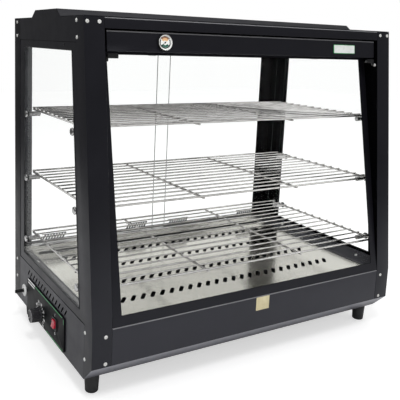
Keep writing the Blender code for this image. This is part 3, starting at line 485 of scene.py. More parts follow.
def ringSector(inner, outer, start, span, height, thick, steps, zone=0):
    # a flat arc, its start and span in degrees
    bm = bmesh.new()
    pair = [bm.verts.new(spun(start) @ Vector((radius, 0, height))) for radius in (inner, outer)]
    swept(bm, pair + [bm.edges.new(pair)], span, steps)
    grown = bmesh.ops.extrude_face_region(bm, geom=bm.faces[:], use_keep_orig=True)["geom"]
    lifted = [item for item in grown if isinstance(item, bmesh.types.BMVert)]
    bmesh.ops.translate(bm, verts=lifted, vec=(0, 0, thick))
    bmesh.ops.recalc_face_normals(bm, faces=bm.faces)
    return painted(bm, zone)


def linked(bm, name):
    mesh = bpy.data.meshes.new(name)
    bm.to_mesh(mesh)
    bm.free()
    made = bpy.data.objects.new(name, mesh)
    scene.collection.objects.link(made)
    return made


def piece(bm, name, finishes, body="cabinet", stands=(), sharpDegrees=32):
    made = linked(bm, name)
    for key in finishes:
        made.data.materials.append(finish[key])
    made.data.shade_smooth()
    made.data.set_sharp_from_angle(angle=math.radians(sharpDegrees))
    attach(made, body)
    if stands:
        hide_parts(*stands)


def standIn(bm, name, finishes, node, sharpDegrees=32):
    # a piece that takes the place of one CAD node
    piece(bm, name, finishes, bodyOf[node], [node], sharpDegrees)


# CAD nodes that keep their shape and get a finish
kept = {
    "black": ("left_top_panel", "right_top_panel", "ceiling_panel", "left_ledge", "right_ledge"),
    "floorSteel": ("floor_plate",),
    "trackMetal": ("lower_door_track", "upper_door_track"),
    "ceramic": ("terminal_block", "thermostat_body"),
    "heater": ("front_heater", "rear_heater"),
}


def dressNodes():
    for key, names in kept.items():
        for name in names:
            for slot in nodes[name].material_slots:
                slot.material = finish[key]


dressNodes()


# folded sheets: outer bends rounded as a press brake leaves them, cut rims just broken
foldedSheets = {
    "names": (
        "base_pan", "base_left_panel", "base_right_panel", "base_front_panel", "base_rear_panel",
        "front_left_post", "front_right_post", "rear_left_post", "rear_right_post",
        "front_window_frame", "left_window_frame", "right_window_frame",
        "top_front_rail", "top_rear_rail", "thermometer_band", "roof_cover",
    ),
    "bend": 2.0 * mm,
    # top folds rounded wider and coloured light grey: a painted highlight along the fold
    "highlitTops": {
        "thermometer_band": 3.0 * mm,
        "base_front_panel": 2.6 * mm,
        "top_front_rail": 2.6 * mm,
    },
    "flat": (
        "base_left_panel", "base_right_panel",
        "front_window_frame", "left_window_frame", "right_window_frame",
    ),
    "flatRim": 0.55 * mm,
    # sides coloured darker as painted shade, each with its coat and a test on the face's direction
    "shaded": {
        "rear_right_post": ("paintedShade", lambda facing: facing.y < -0.3 or facing.x < -0.3),
        "front_right_post": ("paintedShade", lambda facing: facing.y > 0.3 or facing.x < -0.3),
        "right_window_frame": ("paintedShade", lambda facing: facing.x < -0.3),
        "rear_left_post": ("paintedHalfShade", lambda facing: facing.x < -0.2 and facing.y < 0.98),
    },
    "rim": 0.25 * mm,
    "wideFace": 3 * mm,
    "leastRun": 20 * mm,
    "skirtFacing": -0.3,
    "topReach": 0.5 * mm,
    "faceShare": 0.99,
}

# a copy of a node is welded first, then its edges are told apart by their angle in radians
edgeCare = {
    "weld": 0.01 * mm,
    "flatDegrees": 0.5,
    "slight": 0.3,
    "square": 0.9,
}


def mergedCopy(name):
    bm = bmesh.new()
    bm.from_mesh(nodes[name].data)
    bmesh.ops.remove_doubles(bm, verts=bm.verts, dist=edgeCare["weld"])
    flat = math.radians(edgeCare["flatDegrees"])
    bmesh.ops.dissolve_limit(bm, angle_limit=flat, verts=bm.verts[:], edges=bm.edges[:])
    return painted(bm, 0)


def faceWidth(face, edge):
    return face.calc_area() / max(edge.calc_length(), edgeCare["weld"])


def broadNormal(bm):
    return max(bm.faces, key=lambda face: face.calc_area()).normal.copy()


def isCorner(edge, least=edgeCare["slight"]):
    return len(edge.link_faces) == 2 and edge.calc_face_angle(0) > least


def breakRims(bm, width):
    rounded(bm, [edge for edge in bm.edges if isCorner(edge, edgeCare["square"])], width, 1)


def bendsOf(bm):
    return [
        edge
        for edge in bm.edges
        if isCorner(edge)
        and edge.is_convex
        and edge.calc_length() > foldedSheets["leastRun"]
        and min(faceWidth(face, edge) for face in edge.link_faces) > foldedSheets["wideFace"]
    ]


def softened(name, bend, rim):
    bm = mergedCopy(name)
    highlit = foldedSheets["highlitTops"].get(name)
    # the topmost bends get the painted highlight coat
    if highlit:
        top = max(vert.co.z for vert in bm.verts) - foldedSheets["topReach"]
        tops = [edge for edge in bendsOf(bm) if min(vert.co.z for vert in edge.verts) > top]
        rounded(bm, tops, highlit, material=1)
    if bend:
        rounded(bm, bendsOf(bm), bend)
    breakRims(bm, rim)
    return bm


def foldSheets():
    for name in foldedSheets["names"]:
        flat = name in foldedSheets["flat"]
        bm = softened(name, foldedSheets["bend"], foldedSheets["flatRim" if flat else "rim"])
        # base panels take the black coat with painted floor light
        coats = ["baseFloorLit" if name.startswith("base_") else "black"]
        # sheets with a highlit top fold take the painted highlight as a second coat
        if name in foldedSheets["highlitTops"]:
            coats.append("foldHighlight")
        coat, shaded = foldedSheets["shaded"].get(name, ("paintedShade", None))
        if flat or shaded:
            # painted shade: the cut edges of flat sheets are coloured near-black for the shaded gaps
            # between sheets, and sides that lie in shade are coloured darker
            coats.append(coat)
            broad = broadNormal(bm)
            for face in bm.faces:
                gapShade = flat and abs(face.normal.dot(broad)) < foldedSheets["faceShare"]
                dark = gapShade or (shaded and shaded(face.normal))
                face.material_index = 1 if dark else 0
        # the slanting faces of the skirt get the painted sheen
        if name == "base_pan":
            coats.append("skirt")
            for face in bm.faces:
                slants = max(face.normal.y, face.normal.z) < foldedSheets["skirtFacing"]
                face.material_index = 1 if slants else 0
        standIn(bm, name + "_folded", coats, name)


foldSheets()
print("sheets folded")


# panes: polished green edges, faces left clear
panes = {
    "names": ("front_glass", "left_glass", "right_glass", "left_door", "right_door"),
    "arris": 0.5 * mm,
    "levelShare": 0.99,
    "largeShare": 1 / 3,
    "sharpDegrees": 20,
}


def makePanes():
    for name in panes["names"]:
        bm = mergedCopy(name)
        breakRims(bm, panes["arris"])
        largest = max(face.calc_area() for face in bm.faces)
        broad = broadNormal(bm)
        for face in bm.faces:
            level = abs(face.normal.dot(broad)) > panes["levelShare"]
            clear = level or face.calc_area() > largest * panes["largeShare"]
            face.material_index = 0 if clear else 1
        standIn(bm, name + "_pane", ["pane", "paneEdge"], name, panes["sharpDegrees"])


makePanes()
print("panes made")


# glazing beads: a round black strip along the opening of each side window
bead = {
    "names": ("left_window_frame", "right_window_frame"),
    "radius": 1.1 * mm,
    "sides": 8,
    "planeReach": 0.1 * mm,
    "wallReach": 50 * mm,
}


def makeBeads():
    bm = bmesh.new()
    for name in bead["names"]:
        sheet = mergedCopy(name)
        low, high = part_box(name)
        middle = (low + high) / 2
        outside = low.x if middle.x < case["middleX"] else high.x
        for edge in sheet.edges:
            level = all(abs(vert.co.x - outside) < bead["planeReach"] for vert in edge.verts)
            walls = [
                face
                for face in edge.link_faces
                if face.normal.dot(middle - face.calc_center_median()) > bead["wallReach"]
            ]
            if level and walls:
                addRod(bm, *(vert.co for vert in edge.verts), bead["radius"], bead["sides"])
        sheet.free()
    piece(bm, "pane_beads", ["rubber"], sharpDegrees=50)


makeBeads()
print("glazing beads made")


# shelves: welded round wire
shelfWire = {
    "names": ("lower_shelf", "middle_shelf", "upper_shelf"),
    "rod": 2.0 * mm,
    "edgeRod": 2.6 * mm,
    "crossRod": 2.8 * mm,
    "weld": 0.6 * mm,
    "pitch": 30 * mm,
    "crossShares": (-1, -0.34, 0.34, 1),
    "crossInset": 3 * mm,
    "crossEnd": 0.3 * mm,
    "sides": 12,
}


def makeShelves():
    size = shelfWire
    for name in size["names"]:
        low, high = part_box(name)
        below = low.z + size["crossRod"]
        level = below + size["crossRod"] + size["rod"] - size["weld"]
        front, rear = low.y + size["edgeRod"], high.y - size["edgeRod"]
        count = round((rear - front) / size["pitch"])
        bm = bmesh.new()
        for i in range(count + 1):
            radius = size["edgeRod"] if i in (0, count) else size["rod"]
            y = front + (rear - front) * i / count
            addRod(bm, (low.x, y, level), (high.x, y, level), radius, size["sides"])
        reach = (high.x - low.x) / 2 - size["crossInset"]
        for share in size["crossShares"]:
            x = acrossAt(share * reach)
            ends = (x, low.y + size["crossEnd"], below), (x, high.y - size["crossEnd"], below)
            addRod(bm, *ends, size["crossRod"], size["sides"])
        standIn(bm, name + "_wire", ["wire"], name)


makeShelves()
print("shelves made")


# shelf studs: bright cap and dark washer outside the pane, satin sleeve inside
stud = {
    "steps": 36,
    "shank": 3.5 * mm,
    "sleeve": 6.5 * mm,
    "cap": 9 * mm,
    "tip": 410.4 * mm,  # heights run outward from the middle of the case
    "sealFoot": 442.1 * mm,
    "paneInside": 443.7 * mm,
    "paneOutside": 447.7 * mm,
    "capFoot": 448.95 * mm,
    "head": 453 * mm,
    "outline": (
        (0, "tip", (2.2, 0), (3.0, 0.5)),
        ("sleeve", "tip", (-1.4, 0.5), (-0.5, 1.0), (0, 2.0), (0, 7.6)),
        ("sleeve", "tip", (-0.7, 8.3), (-0.7, 10.2), (0, 10.9)),
        ("sleeve", "paneInside", (0, -2.6), (0, -1.5), (0, -0.2)),
        ("shank", "paneInside", (0, -0.2)),
        ("shank", "paneOutside", (0, 0.3)),
        ("cap", "paneOutside", (-0.3, 0.3), (0, 0.6), (0, 1.2), (-0.4, 1.3), (-0.1, 1.7)),
        ("cap", "head", (-0.3, -1.9), (-1.1, -0.8), (-2.6, -0.2), (-5.0, 0)),
    ),
}


def studZone(radius, height):
    if height > stud["capFoot"]:
        return 0
    return 2 if height > stud["sealFoot"] else 1


def makeStuds():
    for name in sorted(nodes):
        if not name.startswith("stud_"):
            continue
        low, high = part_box(name)
        middle = (low + high) / 2
        outward = (1, 0, 0) if middle.x > case["middleX"] else (-1, 0, 0)
        bm = lathed(stud, studZone)
        placed(bm, standing((case["middleX"], middle.y, middle.z), outward))
        standIn(bm, name + "_turned", ["chrome", "satin", "rubber"], name)


makeStuds()
print("studs made")


# feet: tapered rubber with a soft lower rim
foot = {
    "names": ("foot_front_left", "foot_front_right", "foot_rear_left", "foot_rear_right"),
    "steps": 48,
    "taper": 2.5 * mm,
    "outline": (
        (0, 0, (4.5, 1.5), (6.0, 0)),
        ("bottom", 0, (-3, 0), (-1.2, 0.5), (0, 2.2)),
        ("waist", "half", (0, 0)),
        ("top", "tall", (-0.1, -2), (-0.4, -0.6), (-1.2, 0)),
    ),
}


def makeFeet():
    for name in foot["names"]:
        low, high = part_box(name)
        middle, tall = (low + high) / 2, high.z - low.z
        top = (high.x - low.x) / 2
        size = {"top": top, "bottom": top - foot["taper"], "waist": top - foot["taper"] / 2}
        size.update({"half": tall / 2, "tall": tall})
        bm = turned(outlineOf(size, foot["outline"]), foot["steps"])
        placed(bm, shifted(middle.x, middle.y, low.z))
        standIn(bm, name + "_turned", ["rubber"], name)


makeFeet()
print("feet made")


# thermostat knob: skirt, nine finger hollows, pale cap ring and a pointer line
knob = {
    "place": (-453.6 * mm, 46 * mm, 76 * mm),
    "steps": 108,
    "restDegrees": 135,
    "shaft": 3 * mm,
    "tip": 16.9 * mm,
    "grip": 18.3 * mm,
    "skirt": 19.5 * mm,
    "shaftEnd": -20 * mm,
    "length": 27 * mm,
    "outline": (
        ("shaft", "shaftEnd", (-0.4, 0), (0, 0.4)),
        ("shaft", 0, (0, 0.2)),
        ("skirt", 0, (-0.5, 0.2), (0, 0.7), (0, 2.6), (-0.5, 3.2)),
        ("grip", 0, (0, 3.8), (-0.2, 8), (-0.6, 16)),
        ("tip", "length", (0, -1.6), (-0.5, -0.5), (-1.4, 0), (-3.4, 0), (-3.9, -0.6), (-4.2, -0.8)),
    ),
    "capRing": (13.3 * mm, 25.7 * mm),
    "hollows": 9,
    "hollowDepth": 1.5 * mm,
    "hollowPower": 1.5,
    "hollowFrom": (14.4 * mm, 3.5 * mm),
    "pointer": (1.6 * mm, 9.5 * mm, 0.7 * mm),
    "pointerRound": 0.2 * mm,
    "pointerPlace": (0, 11.6 * mm, 26.8 * mm),
}


def knobZone(radius, height):
    ring, level = knob["capRing"]
    return 1 if radius > ring and height > level else 0


def makeKnob():
    bm = lathed(knob, knobZone)
    least, foot = knob["hollowFrom"]
    for vert in bm.verts:
        radius = math.hypot(vert.co.x, vert.co.y)
        if radius < least or vert.co.z < foot:
            continue
        angle = math.atan2(vert.co.y, vert.co.x)
        hollow = max(0.0, math.cos(knob["hollows"] * angle)) ** knob["hollowPower"]
        shrink = 1 - knob["hollowDepth"] * hollow / radius
        vert.co.x *= shrink
        vert.co.y *= shrink
    line = roundedBox(knob["pointer"], knob["pointerRound"], zone=2)
    merge(bm, line, shifted(*knob["pointerPlace"]))
    x, y, z = knob["place"]
    placed(bm, standing((acrossAt(x), y, z), (-1, 0, 0)) @ spun(knob["restDegrees"]))
    standIn(bm, "knob_turned", ["knobBlack", "capGrey", "white"], "thermostat_knob", 40)


makeKnob()
print("knob made")


# control plate: soft rim, scale round the knob, marks by the switch, coloured outline
plate = {
    "face": -453.3 * mm,
    "rim": 0.7 * mm,
    "ink": 0.12 * mm,
    "barRound": 0.3 * mm,
    "bars": (  # how far back, how high, width, height, finish
        (-62.6, 121.1, 1.5, 6.5, 0),
        (116, 134.4, 58, 4, 0),
        (117, 127, 50, 4, 0),
        (-13, 134.4, 194, 2.6, 1),
        (-58, 53.2, 112, 2.6, 1),
        (-118.8, 127, 2.6, 12, 1),
    ),
    "ringPlace": (-62.6 * mm, 73.6 * mm),
    "ring": (1.9 * mm, 3.2 * mm, 0, 359.9),  # inner and outer radius, start and span
    "ringSteps": 28,
}


def onPlate(y, z):
    return standing((acrossAt(plate["face"]), y, z), (-1, 0, 0))


def addBar(bm, place, size, corner, zone):
    merge(bm, roundedPlate(*size, plate["ink"], corner, zone=zone), place)


knobScale = {
    "figures": ("0", "30", "40", "50", "60", "70", "80", "90"),
    "sweep": 270,
    "tickInner": 22.5 * mm,
    "tickOuter": 26.0 * mm,
    "tickWidth": 1.9 * mm,
    "tickRound": 0.2 * mm,
    "figureRadius": 31.5 * mm,
    "figureHeight": 9.4 * mm,
    "figureSpread": 0.22 * mm,
    "figureSteps": 3,
    "figureWeld": 0.002 * mm,
}


def addText(bm, text, place, height, zone):
    curve = bpy.data.curves.new("figures", "FONT")
    curve.body = text
    curve.size = height
    curve.align_x = "CENTER"
    curve.align_y = "CENTER"
    curve.extrude = plate["ink"] / 2
    curve.resolution_u = knobScale["figureSteps"]
    curve.offset = knobScale["figureSpread"]
    holder = bpy.data.objects.new("figures", curve)
    mesh = bpy.data.meshes.new_from_object(holder)
    step = bmesh.new()
    step.from_mesh(mesh)
    bpy.data.objects.remove(holder)
    bpy.data.meshes.remove(mesh)
    bpy.data.curves.remove(curve)
    bmesh.ops.remove_doubles(step, verts=step.verts, dist=knobScale["figureWeld"])
    merge(bm, painted(step, zone), place @ shifted(0, 0, plate["ink"] / 2))


def addKnobScale(bm, zone):
    size = knobScale
    steps = len(size["figures"]) - 1
    home = onPlate(*knob["place"][1:])
    for i in range(steps * 2 + 1):
        turn = knob["restDegrees"] - size["sweep"] * i / (steps * 2)
        long = i % 2 == 0
        inner, outer = size["tickInner"], size["tickOuter"] if long else size["figureRadius"]
        tick = home @ spun(turn) @ shifted(0, (inner + outer) / 2, 0)
        addBar(bm, tick, (size["tickWidth"], outer - inner), size["tickRound"], zone)
        if long:
            angle = math.radians(turn + 90)
            spot = Vector((math.cos(angle), math.sin(angle), 0)) * size["figureRadius"]
            text = size["figures"][i // 2]
            addText(bm, text, home @ Matrix.Translation(spot), size["figureHeight"], zone)


def makePlate():
    bm = softened("control_plate", 0, plate["rim"])
    standIn(bm, "plate_rimmed", ["plate"], "control_plate")
    marks = bmesh.new()
    addKnobScale(marks, 0)
    ring = ringSector(*plate["ring"], 0, plate["ink"], plate["ringSteps"])
    merge(marks, ring, onPlate(*plate["ringPlace"]))
    for y, z, wide, tall, zone in plate["bars"]:
        addBar(marks, onPlate(y * mm, z * mm), (wide * mm, tall * mm), plate["barRound"], zone)
    piece(marks, "plate_print", ["white", "green"])


makePlate()
print("control plate made")


# power switch: black bezel and a glossy red rocker
switch = {
    "bezel": 0.6 * mm,
    "rocker": 1.1 * mm,
    "rockerCorner": 0.25,
}


def makeSwitch():
    bm = softened("switch_body", 0, switch["bezel"])
    standIn(bm, "switch_bezel", ["blackPlastic"], "switch_body")
    bm = mergedCopy("power_rocker")
    corners = [edge for edge in bm.edges if isCorner(edge, switch["rockerCorner"])]
    rounded(bm, corners, switch["rocker"])
    standIn(bm, "rocker_moulded", ["red"], "power_rocker", 50)


makeSwitch()
print("switch made")


# cord gland: pale flanged bush and a ribbed black sleeve
gland = {
    "place": (-450 * mm, 181 * mm, 88 * mm),
    "steps": 48,
    "bore": 3.7 * mm,
    "sleeve": 4.8 * mm,
    "stub": 7.5 * mm,
    "flange": 16.5 * mm,
    "stubEnd": -9.7 * mm,
    "face": 4.5 * mm,
    "boreEnd": 15.3 * mm,
    "reach": 27.3 * mm,
    "bush": (
        ("stub", "stubEnd", (-0.6, 0), (0, 0.6)),
        ("stub", 0, (0, 0.2)),
        ("flange", 0, (-0.5, 0.2), (0, 0.8)),
        ("flange", "face", (-0.1, -1.6), (-1.0, -0.6), (-2.6, -0.1), (-4.6, 0), (-5.4, -0.6)),
        ("sleeve", "face", (2.2, -0.6), (1.4, 0), (0, 0.4)),
    ),
    "ribs": 6,
    "ribMargin": 2 * mm,
    "ribDepth": 0.6 * mm,
    "ribShares": ((0, 0), (0, 0.5), (1, 0.62), (1, 0.88)),
    "mouth": (
        ("sleeve", "reach", (0, -2), (0, -0.5), (-0.4, 0)),
        ("bore", "reach", (0.3, 0), (0, -0.4)),
        ("bore", "boreEnd", (0, 0)),
    ),
    "pale": (5.8 * mm, 4.6 * mm),
}


def glandZone(radius, height):
    least, top = gland["pale"]
    return 1 if height > top or radius < least else 0


def makeGland():
    size = gland
    outline = outlineOf(size, size["bush"])
    start = size["face"] + size["ribMargin"]
    run = (size["reach"] - size["ribMargin"] - start) / size["ribs"]
    for i in range(size["ribs"]):
        for depth, share in size["ribShares"]:
            outline.append((size["sleeve"] - depth * size["ribDepth"], start + (i + share) * run))
    outline += outlineOf(size, size["mouth"])
    bm = turned(outline, size["steps"], glandZone)
    x, y, z = size["place"]
    placed(bm, standing((acrossAt(x), y, z), (-1, 0, 0)))
    standIn(bm, "gland_turned", ["pale", "blackPlastic"], "cable_gland")


makeGland()
print("gland made")


# thermometer: rolled bezel, printed card, needle and domed lens
dial = {
    "centre": (-258 * mm, 772 * mm),
    "steps": 64,
    "restDegrees": 135,
    "sweep": 270,
    "body": 16 * mm,
    "cardRadius": 16.3 * mm,
    "blackFrom": 17.1 * mm,
    "radius": 19 * mm,
    "bodyEnd": -11.9 * mm,
    "card": 1.5 * mm,
    "lens": 3.7 * mm,
    "bezel": 4.5 * mm,
    "outline": (
        ("body", "bodyEnd", (-0.6, 0), (0, 0.6)),
        ("body", 0, (0, 0.1)),
        ("radius", 0, (-0.4, 0.1), (0, 0.5)),
        ("radius", "bezel", (0, -1.9), (-0.3, -0.9), (-0.9, -0.2), (-1.5, 0)),
        ("radius", "bezel", (-2.1, -0.2), (-2.5, -0.9)),
        ("cardRadius", "card", (0.1, 0)),
    ),
    "lensOutline": (
        ("cardRadius", "lens", (0, 0), (0, 0.35), (-6.52, 0.56)),
        (0, "lens", (0, 0.665)),
    ),
    "paper": 0.14 * mm,
    "paperLift": (0.01 * mm, 0.02 * mm),
    "arcSteps": 40,
    "arcs": (  # inner and outer radius, start and span in degrees, finish
        (9.8 * mm, 13.8 * mm, 38, 104, 1),
        (4.2 * mm, 9.6 * mm, 32, 116, 2),
        (5.6 * mm, 10.6 * mm, 212, 116, 3),
        (10.8 * mm, 13.4 * mm, 206, 128, 0),
        (11.4 * mm, 13.4 * mm, 150, 56, 0),
        (11.4 * mm, 13.4 * mm, -26, 56, 0),
    ),
    "ticks": 30,
    "longEvery": 5,
    "tickWidth": 1.1 * mm,
    "tickRound": 0.1 * mm,
    "tickInner": (12.0 * mm, 12.8 * mm),
    "tickOuter": 14.4 * mm,
}
bandOutward = Vector((0, -1, case["lean"])).normalized()


def onBand(x, z):
    # a place on the recessed band behind the header, x and z in the case's own measures
    recess = case["bandRecess"] * math.hypot(1, case["lean"])
    return standing((acrossAt(x), postFront(z) + recess, z), bandOutward)


def dialZone(radius, height):
    if height < 0 or radius > dial["blackFrom"]:
        return 1
    return 2 if radius < dial["cardRadius"] and height < dial["card"] + dial["paper"] / 2 else 0


def makeDial():
    size = dial
    place = onBand(*size["centre"])
    bm = placed(lathed(size, dialZone), place)
    standIn(bm, "dial_case", ["bezel", "blackPlastic", "card"], "thermometer_case", 40)

    art = bmesh.new()
    under, over = (size["card"] + lift for lift in size["paperLift"])
    for inner, outer, start, span, zone in size["arcs"]:
        arc = ringSector(inner, outer, start, span, under, size["paper"], size["arcSteps"], zone)
        merge(art, arc, place)
    for i in range(size["ticks"] + 1):
        inner, outer = size["tickInner"][1 if i % size["longEvery"] else 0], size["tickOuter"]
        tick = roundedPlate(size["tickWidth"], outer - inner, size["paper"], size["tickRound"])
        turn = spun(size["restDegrees"] - size["sweep"] * i / size["ticks"])
        merge(art, tick, place @ turn @ shifted(0, (outer + inner) / 2, over))
    piece(art, "dial_print", ["ink", "brown", "orange", "teal"])

    lens = turned(outlineOf(size, size["lensOutline"]), size["steps"])
    piece(placed(lens, place), "dial_lens", ["pane"])


# needle: a slim pointer on a small hub, turning in front of the card
needle = {
    "width": 0.7 * mm,
    "thick": 0.4 * mm,
    "round": 0.2 * mm,
    "reach": 11.4 * mm,
    "tail": 2.8 * mm,
    "lift": 2.3 * mm,
    "steps": 24,
    "hub": 1.5 * mm,
    "hubFoot": 1.9 * mm,
    "hubTop": 3.3 * mm,
    "outline": (
        ("hub", "hubFoot", (0, 0)),
        ("hub", "hubTop", (0, -0.5), (-0.6, 0)),
    ),
}


def makeNeedle():
    size = needle
    place = onBand(*dial["centre"]) @ spun(dial["restDegrees"])
    bm = roundedPlate(size["width"], size["reach"] + size["tail"], size["thick"], size["round"])
    placed(bm, place @ shifted(0, (size["reach"] - size["tail"]) / 2, size["lift"]))
    merge(bm, lathed(size), place)
    standIn(bm, "dial_needle", ["ink"], "thermometer_needle")


makeDial()
makeNeedle()
print("thermometer made")


# lamp: a tube with metal caps in two moulded holders under the ceiling
lampTube = {
    "place": (-130 * mm, 749.8 * mm),
    "steps": 40,
    "radius": 6.5 * mm,
    "neck": 238 * mm,
    "half": 250 * mm,
    "outline": (
        ("radius", "half", (-0.9, 0), (0, -0.9)),
        ("radius", "neck", (0, 0), (-0.3, 0)),
    ),
    "holder": (14 * mm, 18 * mm, 20.4 * mm),
    "holderRound": 1.6 * mm,
    "holderZ": 751.1 * mm,
}


def makeLampTube():
    size = lampTube
    y, z = size["place"]
    profile = outlineOf(size, size["outline"])
    profile += [(radius, -height) for radius, height in reversed(profile)]
    bm = turned(profile, size["steps"], lambda radius, height: int(abs(height) > size["neck"]))
    placed(bm, standing((acrossAt(0), y, z), (1, 0, 0)))
    for side in (-1, 1):
        holder = roundedBox(size["holder"], size["holderRound"], zone=2)
        merge(bm, holder, shifted(acrossAt(side * size["half"]), y, size["holderZ"]))
    standIn(bm, "lamp_tube", ["lampGlass", "satin", "pale"], "lamp", 40)


makeLampTube()
print("lamp made")


# blank plates where the photograph has a name plate and a label
badge = {
    "place": (285 * mm, 770.5 * mm),
    "size": (76 * mm, 23 * mm, 1.2 * mm),
    "corner": 2 * mm,
    "rim": 0.35 * mm,
    "lift": 0.05 * mm,
    "field": (73 * mm, 20 * mm, 0.2 * mm),
    "fieldCorner": 1.2 * mm,
}
label = {
    "place": (2.5 * mm, 152.5 * mm),
    "size": (40 * mm, 33.5 * mm, 0.25 * mm),
    "corner": 1 * mm,
    "lift": 0.02 * mm,
}


def makeBlanks():
    bm = roundedPlate(*badge["size"], badge["corner"], badge["rim"])
    field = roundedPlate(*badge["field"], badge["fieldCorner"], zone=1)
    merge(bm, field, shifted(0, 0, badge["size"][2]))
    placed(bm, onBand(*badge["place"]) @ shifted(0, 0, badge["lift"]))
    piece(bm, "badge_blank", ["green", "badge"])
    x, z = label["place"]
    bm = roundedPlate(*label["size"], label["corner"])
    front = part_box("base_front_panel")[0].y - label["lift"]
    placed(bm, standing((acrossAt(x), front, z), (0, -1, 0)))
    piece(bm, "label_blank", ["label"])


makeBlanks()
print("blanks made")


# screws: pan heads with a cross, one made and then copied
screw = {
    "steps": 24,
    "head": 4.2 * mm,
    "rise": 1.9 * mm,
    "outline": (
        ("head", 0, (-0.2, -0.4), (0, 0.1), (-0.2, 0.95)),
        ("head", "rise", (-0.924, -0.304), (-2.31, 0)),
        (0, "rise", (0, 0.076)),
    ),
    "cross": (4.4 * mm, 0.95 * mm, 3.8 * mm),
    "crossRound": 0.12 * mm,
    "crossLift": 2.755 * mm,
}


def screwMaster():
    size = screw
    cross = bmesh.new()
    for turn in (0, 90):
        arm = roundedBox(size["cross"], size["crossRound"], 1)
        merge(cross, arm, shifted(0, 0, size["crossLift"]) @ spun(turn))
    holder = linked(lathed(size), "screwHead")
    cutter = linked(cross, "screwRecess")
    cut = holder.modifiers.new("recess", "BOOLEAN")
    cut.operation = "DIFFERENCE"
    cut.solver = "EXACT"
    cut.use_self = True
    cut.object = cutter
    shown = bpy.context.evaluated_depsgraph_get()
    mesh = bpy.data.meshes.new_from_object(holder.evaluated_get(shown))
    for made in (holder, cutter):
        bpy.data.objects.remove(made)
    mesh.materials.clear()
    return mesh


def screwPiece(name, key, master, spots):
    bm = bmesh.new()
    for home in spots:
        step = bmesh.new()
        step.from_mesh(master)
        merge(bm, step, home)
    piece(bm, name, [key], sharpDegrees=40)


screwPlaces = {
    "bandX": (442 * mm, 415 * mm),
    "bandZ": 810 * mm,
    "frontX": 418.4 * mm,
    "frontZ": (156 * mm, 95 * mm),
    "setback": 37 * mm,
    "topZ": (812 * mm, 777 * mm),
    "rearPostY": 250 * mm,
    "rearPostZ": (812 * mm, 777 * mm, 156 * mm, 106 * mm),
    "backX": 425 * mm,
    "backZ": (790 * mm, 120 * mm),
    "panelX": (-300 * mm, -100 * mm, 100 * mm, 300 * mm),
    "panelRows": ((180 * mm, 25), (60 * mm, 60), (806 * mm, 5)),  # height and turn
    "flangeZ": 731 * mm,
    "flangeSetback": 9 * mm,
    "ledgeX": 425 * mm,
    "ledgeY": (-179 * mm, 140 * mm),
    "ledgeZ": 180.2 * mm,
    "ledgeFacing": (0.574, 0.819),
    "lipX": 449.2 * mm,
    "lipY": (147 * mm, -92 * mm),
    "lipZ": 761 * mm,
    "lipScale": 0.7,
}


def makeScrews():
    master = screwMaster()
    at = screwPlaces
    spots = []

    def put(x, y, z, outward, turn):
        spots.append(standing((acrossAt(x), y, z), outward) @ spun(turn))

    edge, rear = case["halfWidth"], (0, 1, 0)
    for side in (-1, 1):
        for x in at["bandX"]:
            put(side * x, postFront(at["bandZ"]), at["bandZ"], bandOutward, 35)
        for z in at["frontZ"]:
            put(side * at["frontX"], case["front"], z, (0, -1, 0), 10)
            put(side * edge, case["front"] + at["setback"], z, (side, 0, 0), 50)
        for z in at["topZ"]:
            put(side * edge, postFront(z) + at["setback"], z, (side, 0, 0), 15)
        for z in at["rearPostZ"]:
            put(side * edge, at["rearPostY"], z, (side, 0, 0), 70)
        for z in at["backZ"]:
            put(side * at["backX"], case["rear"], z, rear, 25)
    for x in at["panelX"]:
        for z, turn in at["panelRows"]:
            put(x, case["rear"], z, rear, turn)
    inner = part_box("front_right_post")[0].x - case["middleX"]
    inward, up = at["ledgeFacing"]
    for side in (-1, 1):
        y = postFront(at["flangeZ"]) + at["flangeSetback"]
        put(side * inner, y, at["flangeZ"], (-side, 0, 0), 40)
        for y in at["ledgeY"]:
            put(side * at["ledgeX"], y, at["ledgeZ"], (-side * inward, 0, up), 30)
    screwPiece("case_screws", "screw", master, spots)

    small = Matrix.Scale(at["lipScale"], 4)
    lips = [
        standing((acrossAt(side * at["lipX"]), y, at["lipZ"]), (side, 0, 0)) @ small
        for side in (-1, 1)
        for y in at["lipY"]
    ]
    screwPiece("lip_screws", "darkScrew", master, lips)


makeScrews()
print("screws made")


# small clips that hold the front pane under the ends of the band
paneClip = {
    "middle": (383.5 * mm, 741 * mm),
    "size": (25 * mm, 9 * mm, 10 * mm),
    "round": 1.2 * mm,
    "back": 9 * mm,
    "tabSize": (5 * mm, 6 * mm, 9 * mm),
    "tabDrop": 7 * mm,
}


def makePaneClips():
    size = paneClip
    x, z = size["middle"]
    y = postFront(z) + size["back"]
    bm = bmesh.new()
    for side in (-1, 1):
        merge(bm, roundedBox(size["size"], size["round"]), shifted(acrossAt(side * x), y, z))
        out = acrossAt(side * (x + size["size"][0] / 2))
        merge(bm, roundedBox(size["tabSize"], size["round"]), shifted(out, y, z - size["tabDrop"]))
    piece(bm, "pane_clips", ["blackPlastic"])


makePaneClips()
print("pane clips made")


# black strips along the top and the foot of the rear sill, between the rear posts: painted shade of the
# groove at its top and of the gap at its foot
sillShade = {
    "top": 4.0 * mm,
    "foot": 3.6 * mm,
    "thick": 1.2 * mm,
    "round": 0.4 * mm,
    "inset": 56 * mm,
}


def makeSillShade():
    low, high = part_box("lower_door_track")
    width = high.x - low.x - 2 * sillShade["inset"]
    x, y = (low.x + high.x) / 2, low.y - sillShade["thick"] / 2
    bm = bmesh.new()
    for tall, z in (
        (sillShade["top"], high.z - sillShade["top"] / 2),
        (sillShade["foot"], low.z + sillShade["foot"] / 2),
    ):
        strip = roundedBox((width, sillShade["thick"], tall), sillShade["round"])
        merge(bm, strip, shifted(x, y, z))
    piece(bm, "sill_shade_strips", ["rubber"])


makeSillShade()
print("sill seals made")


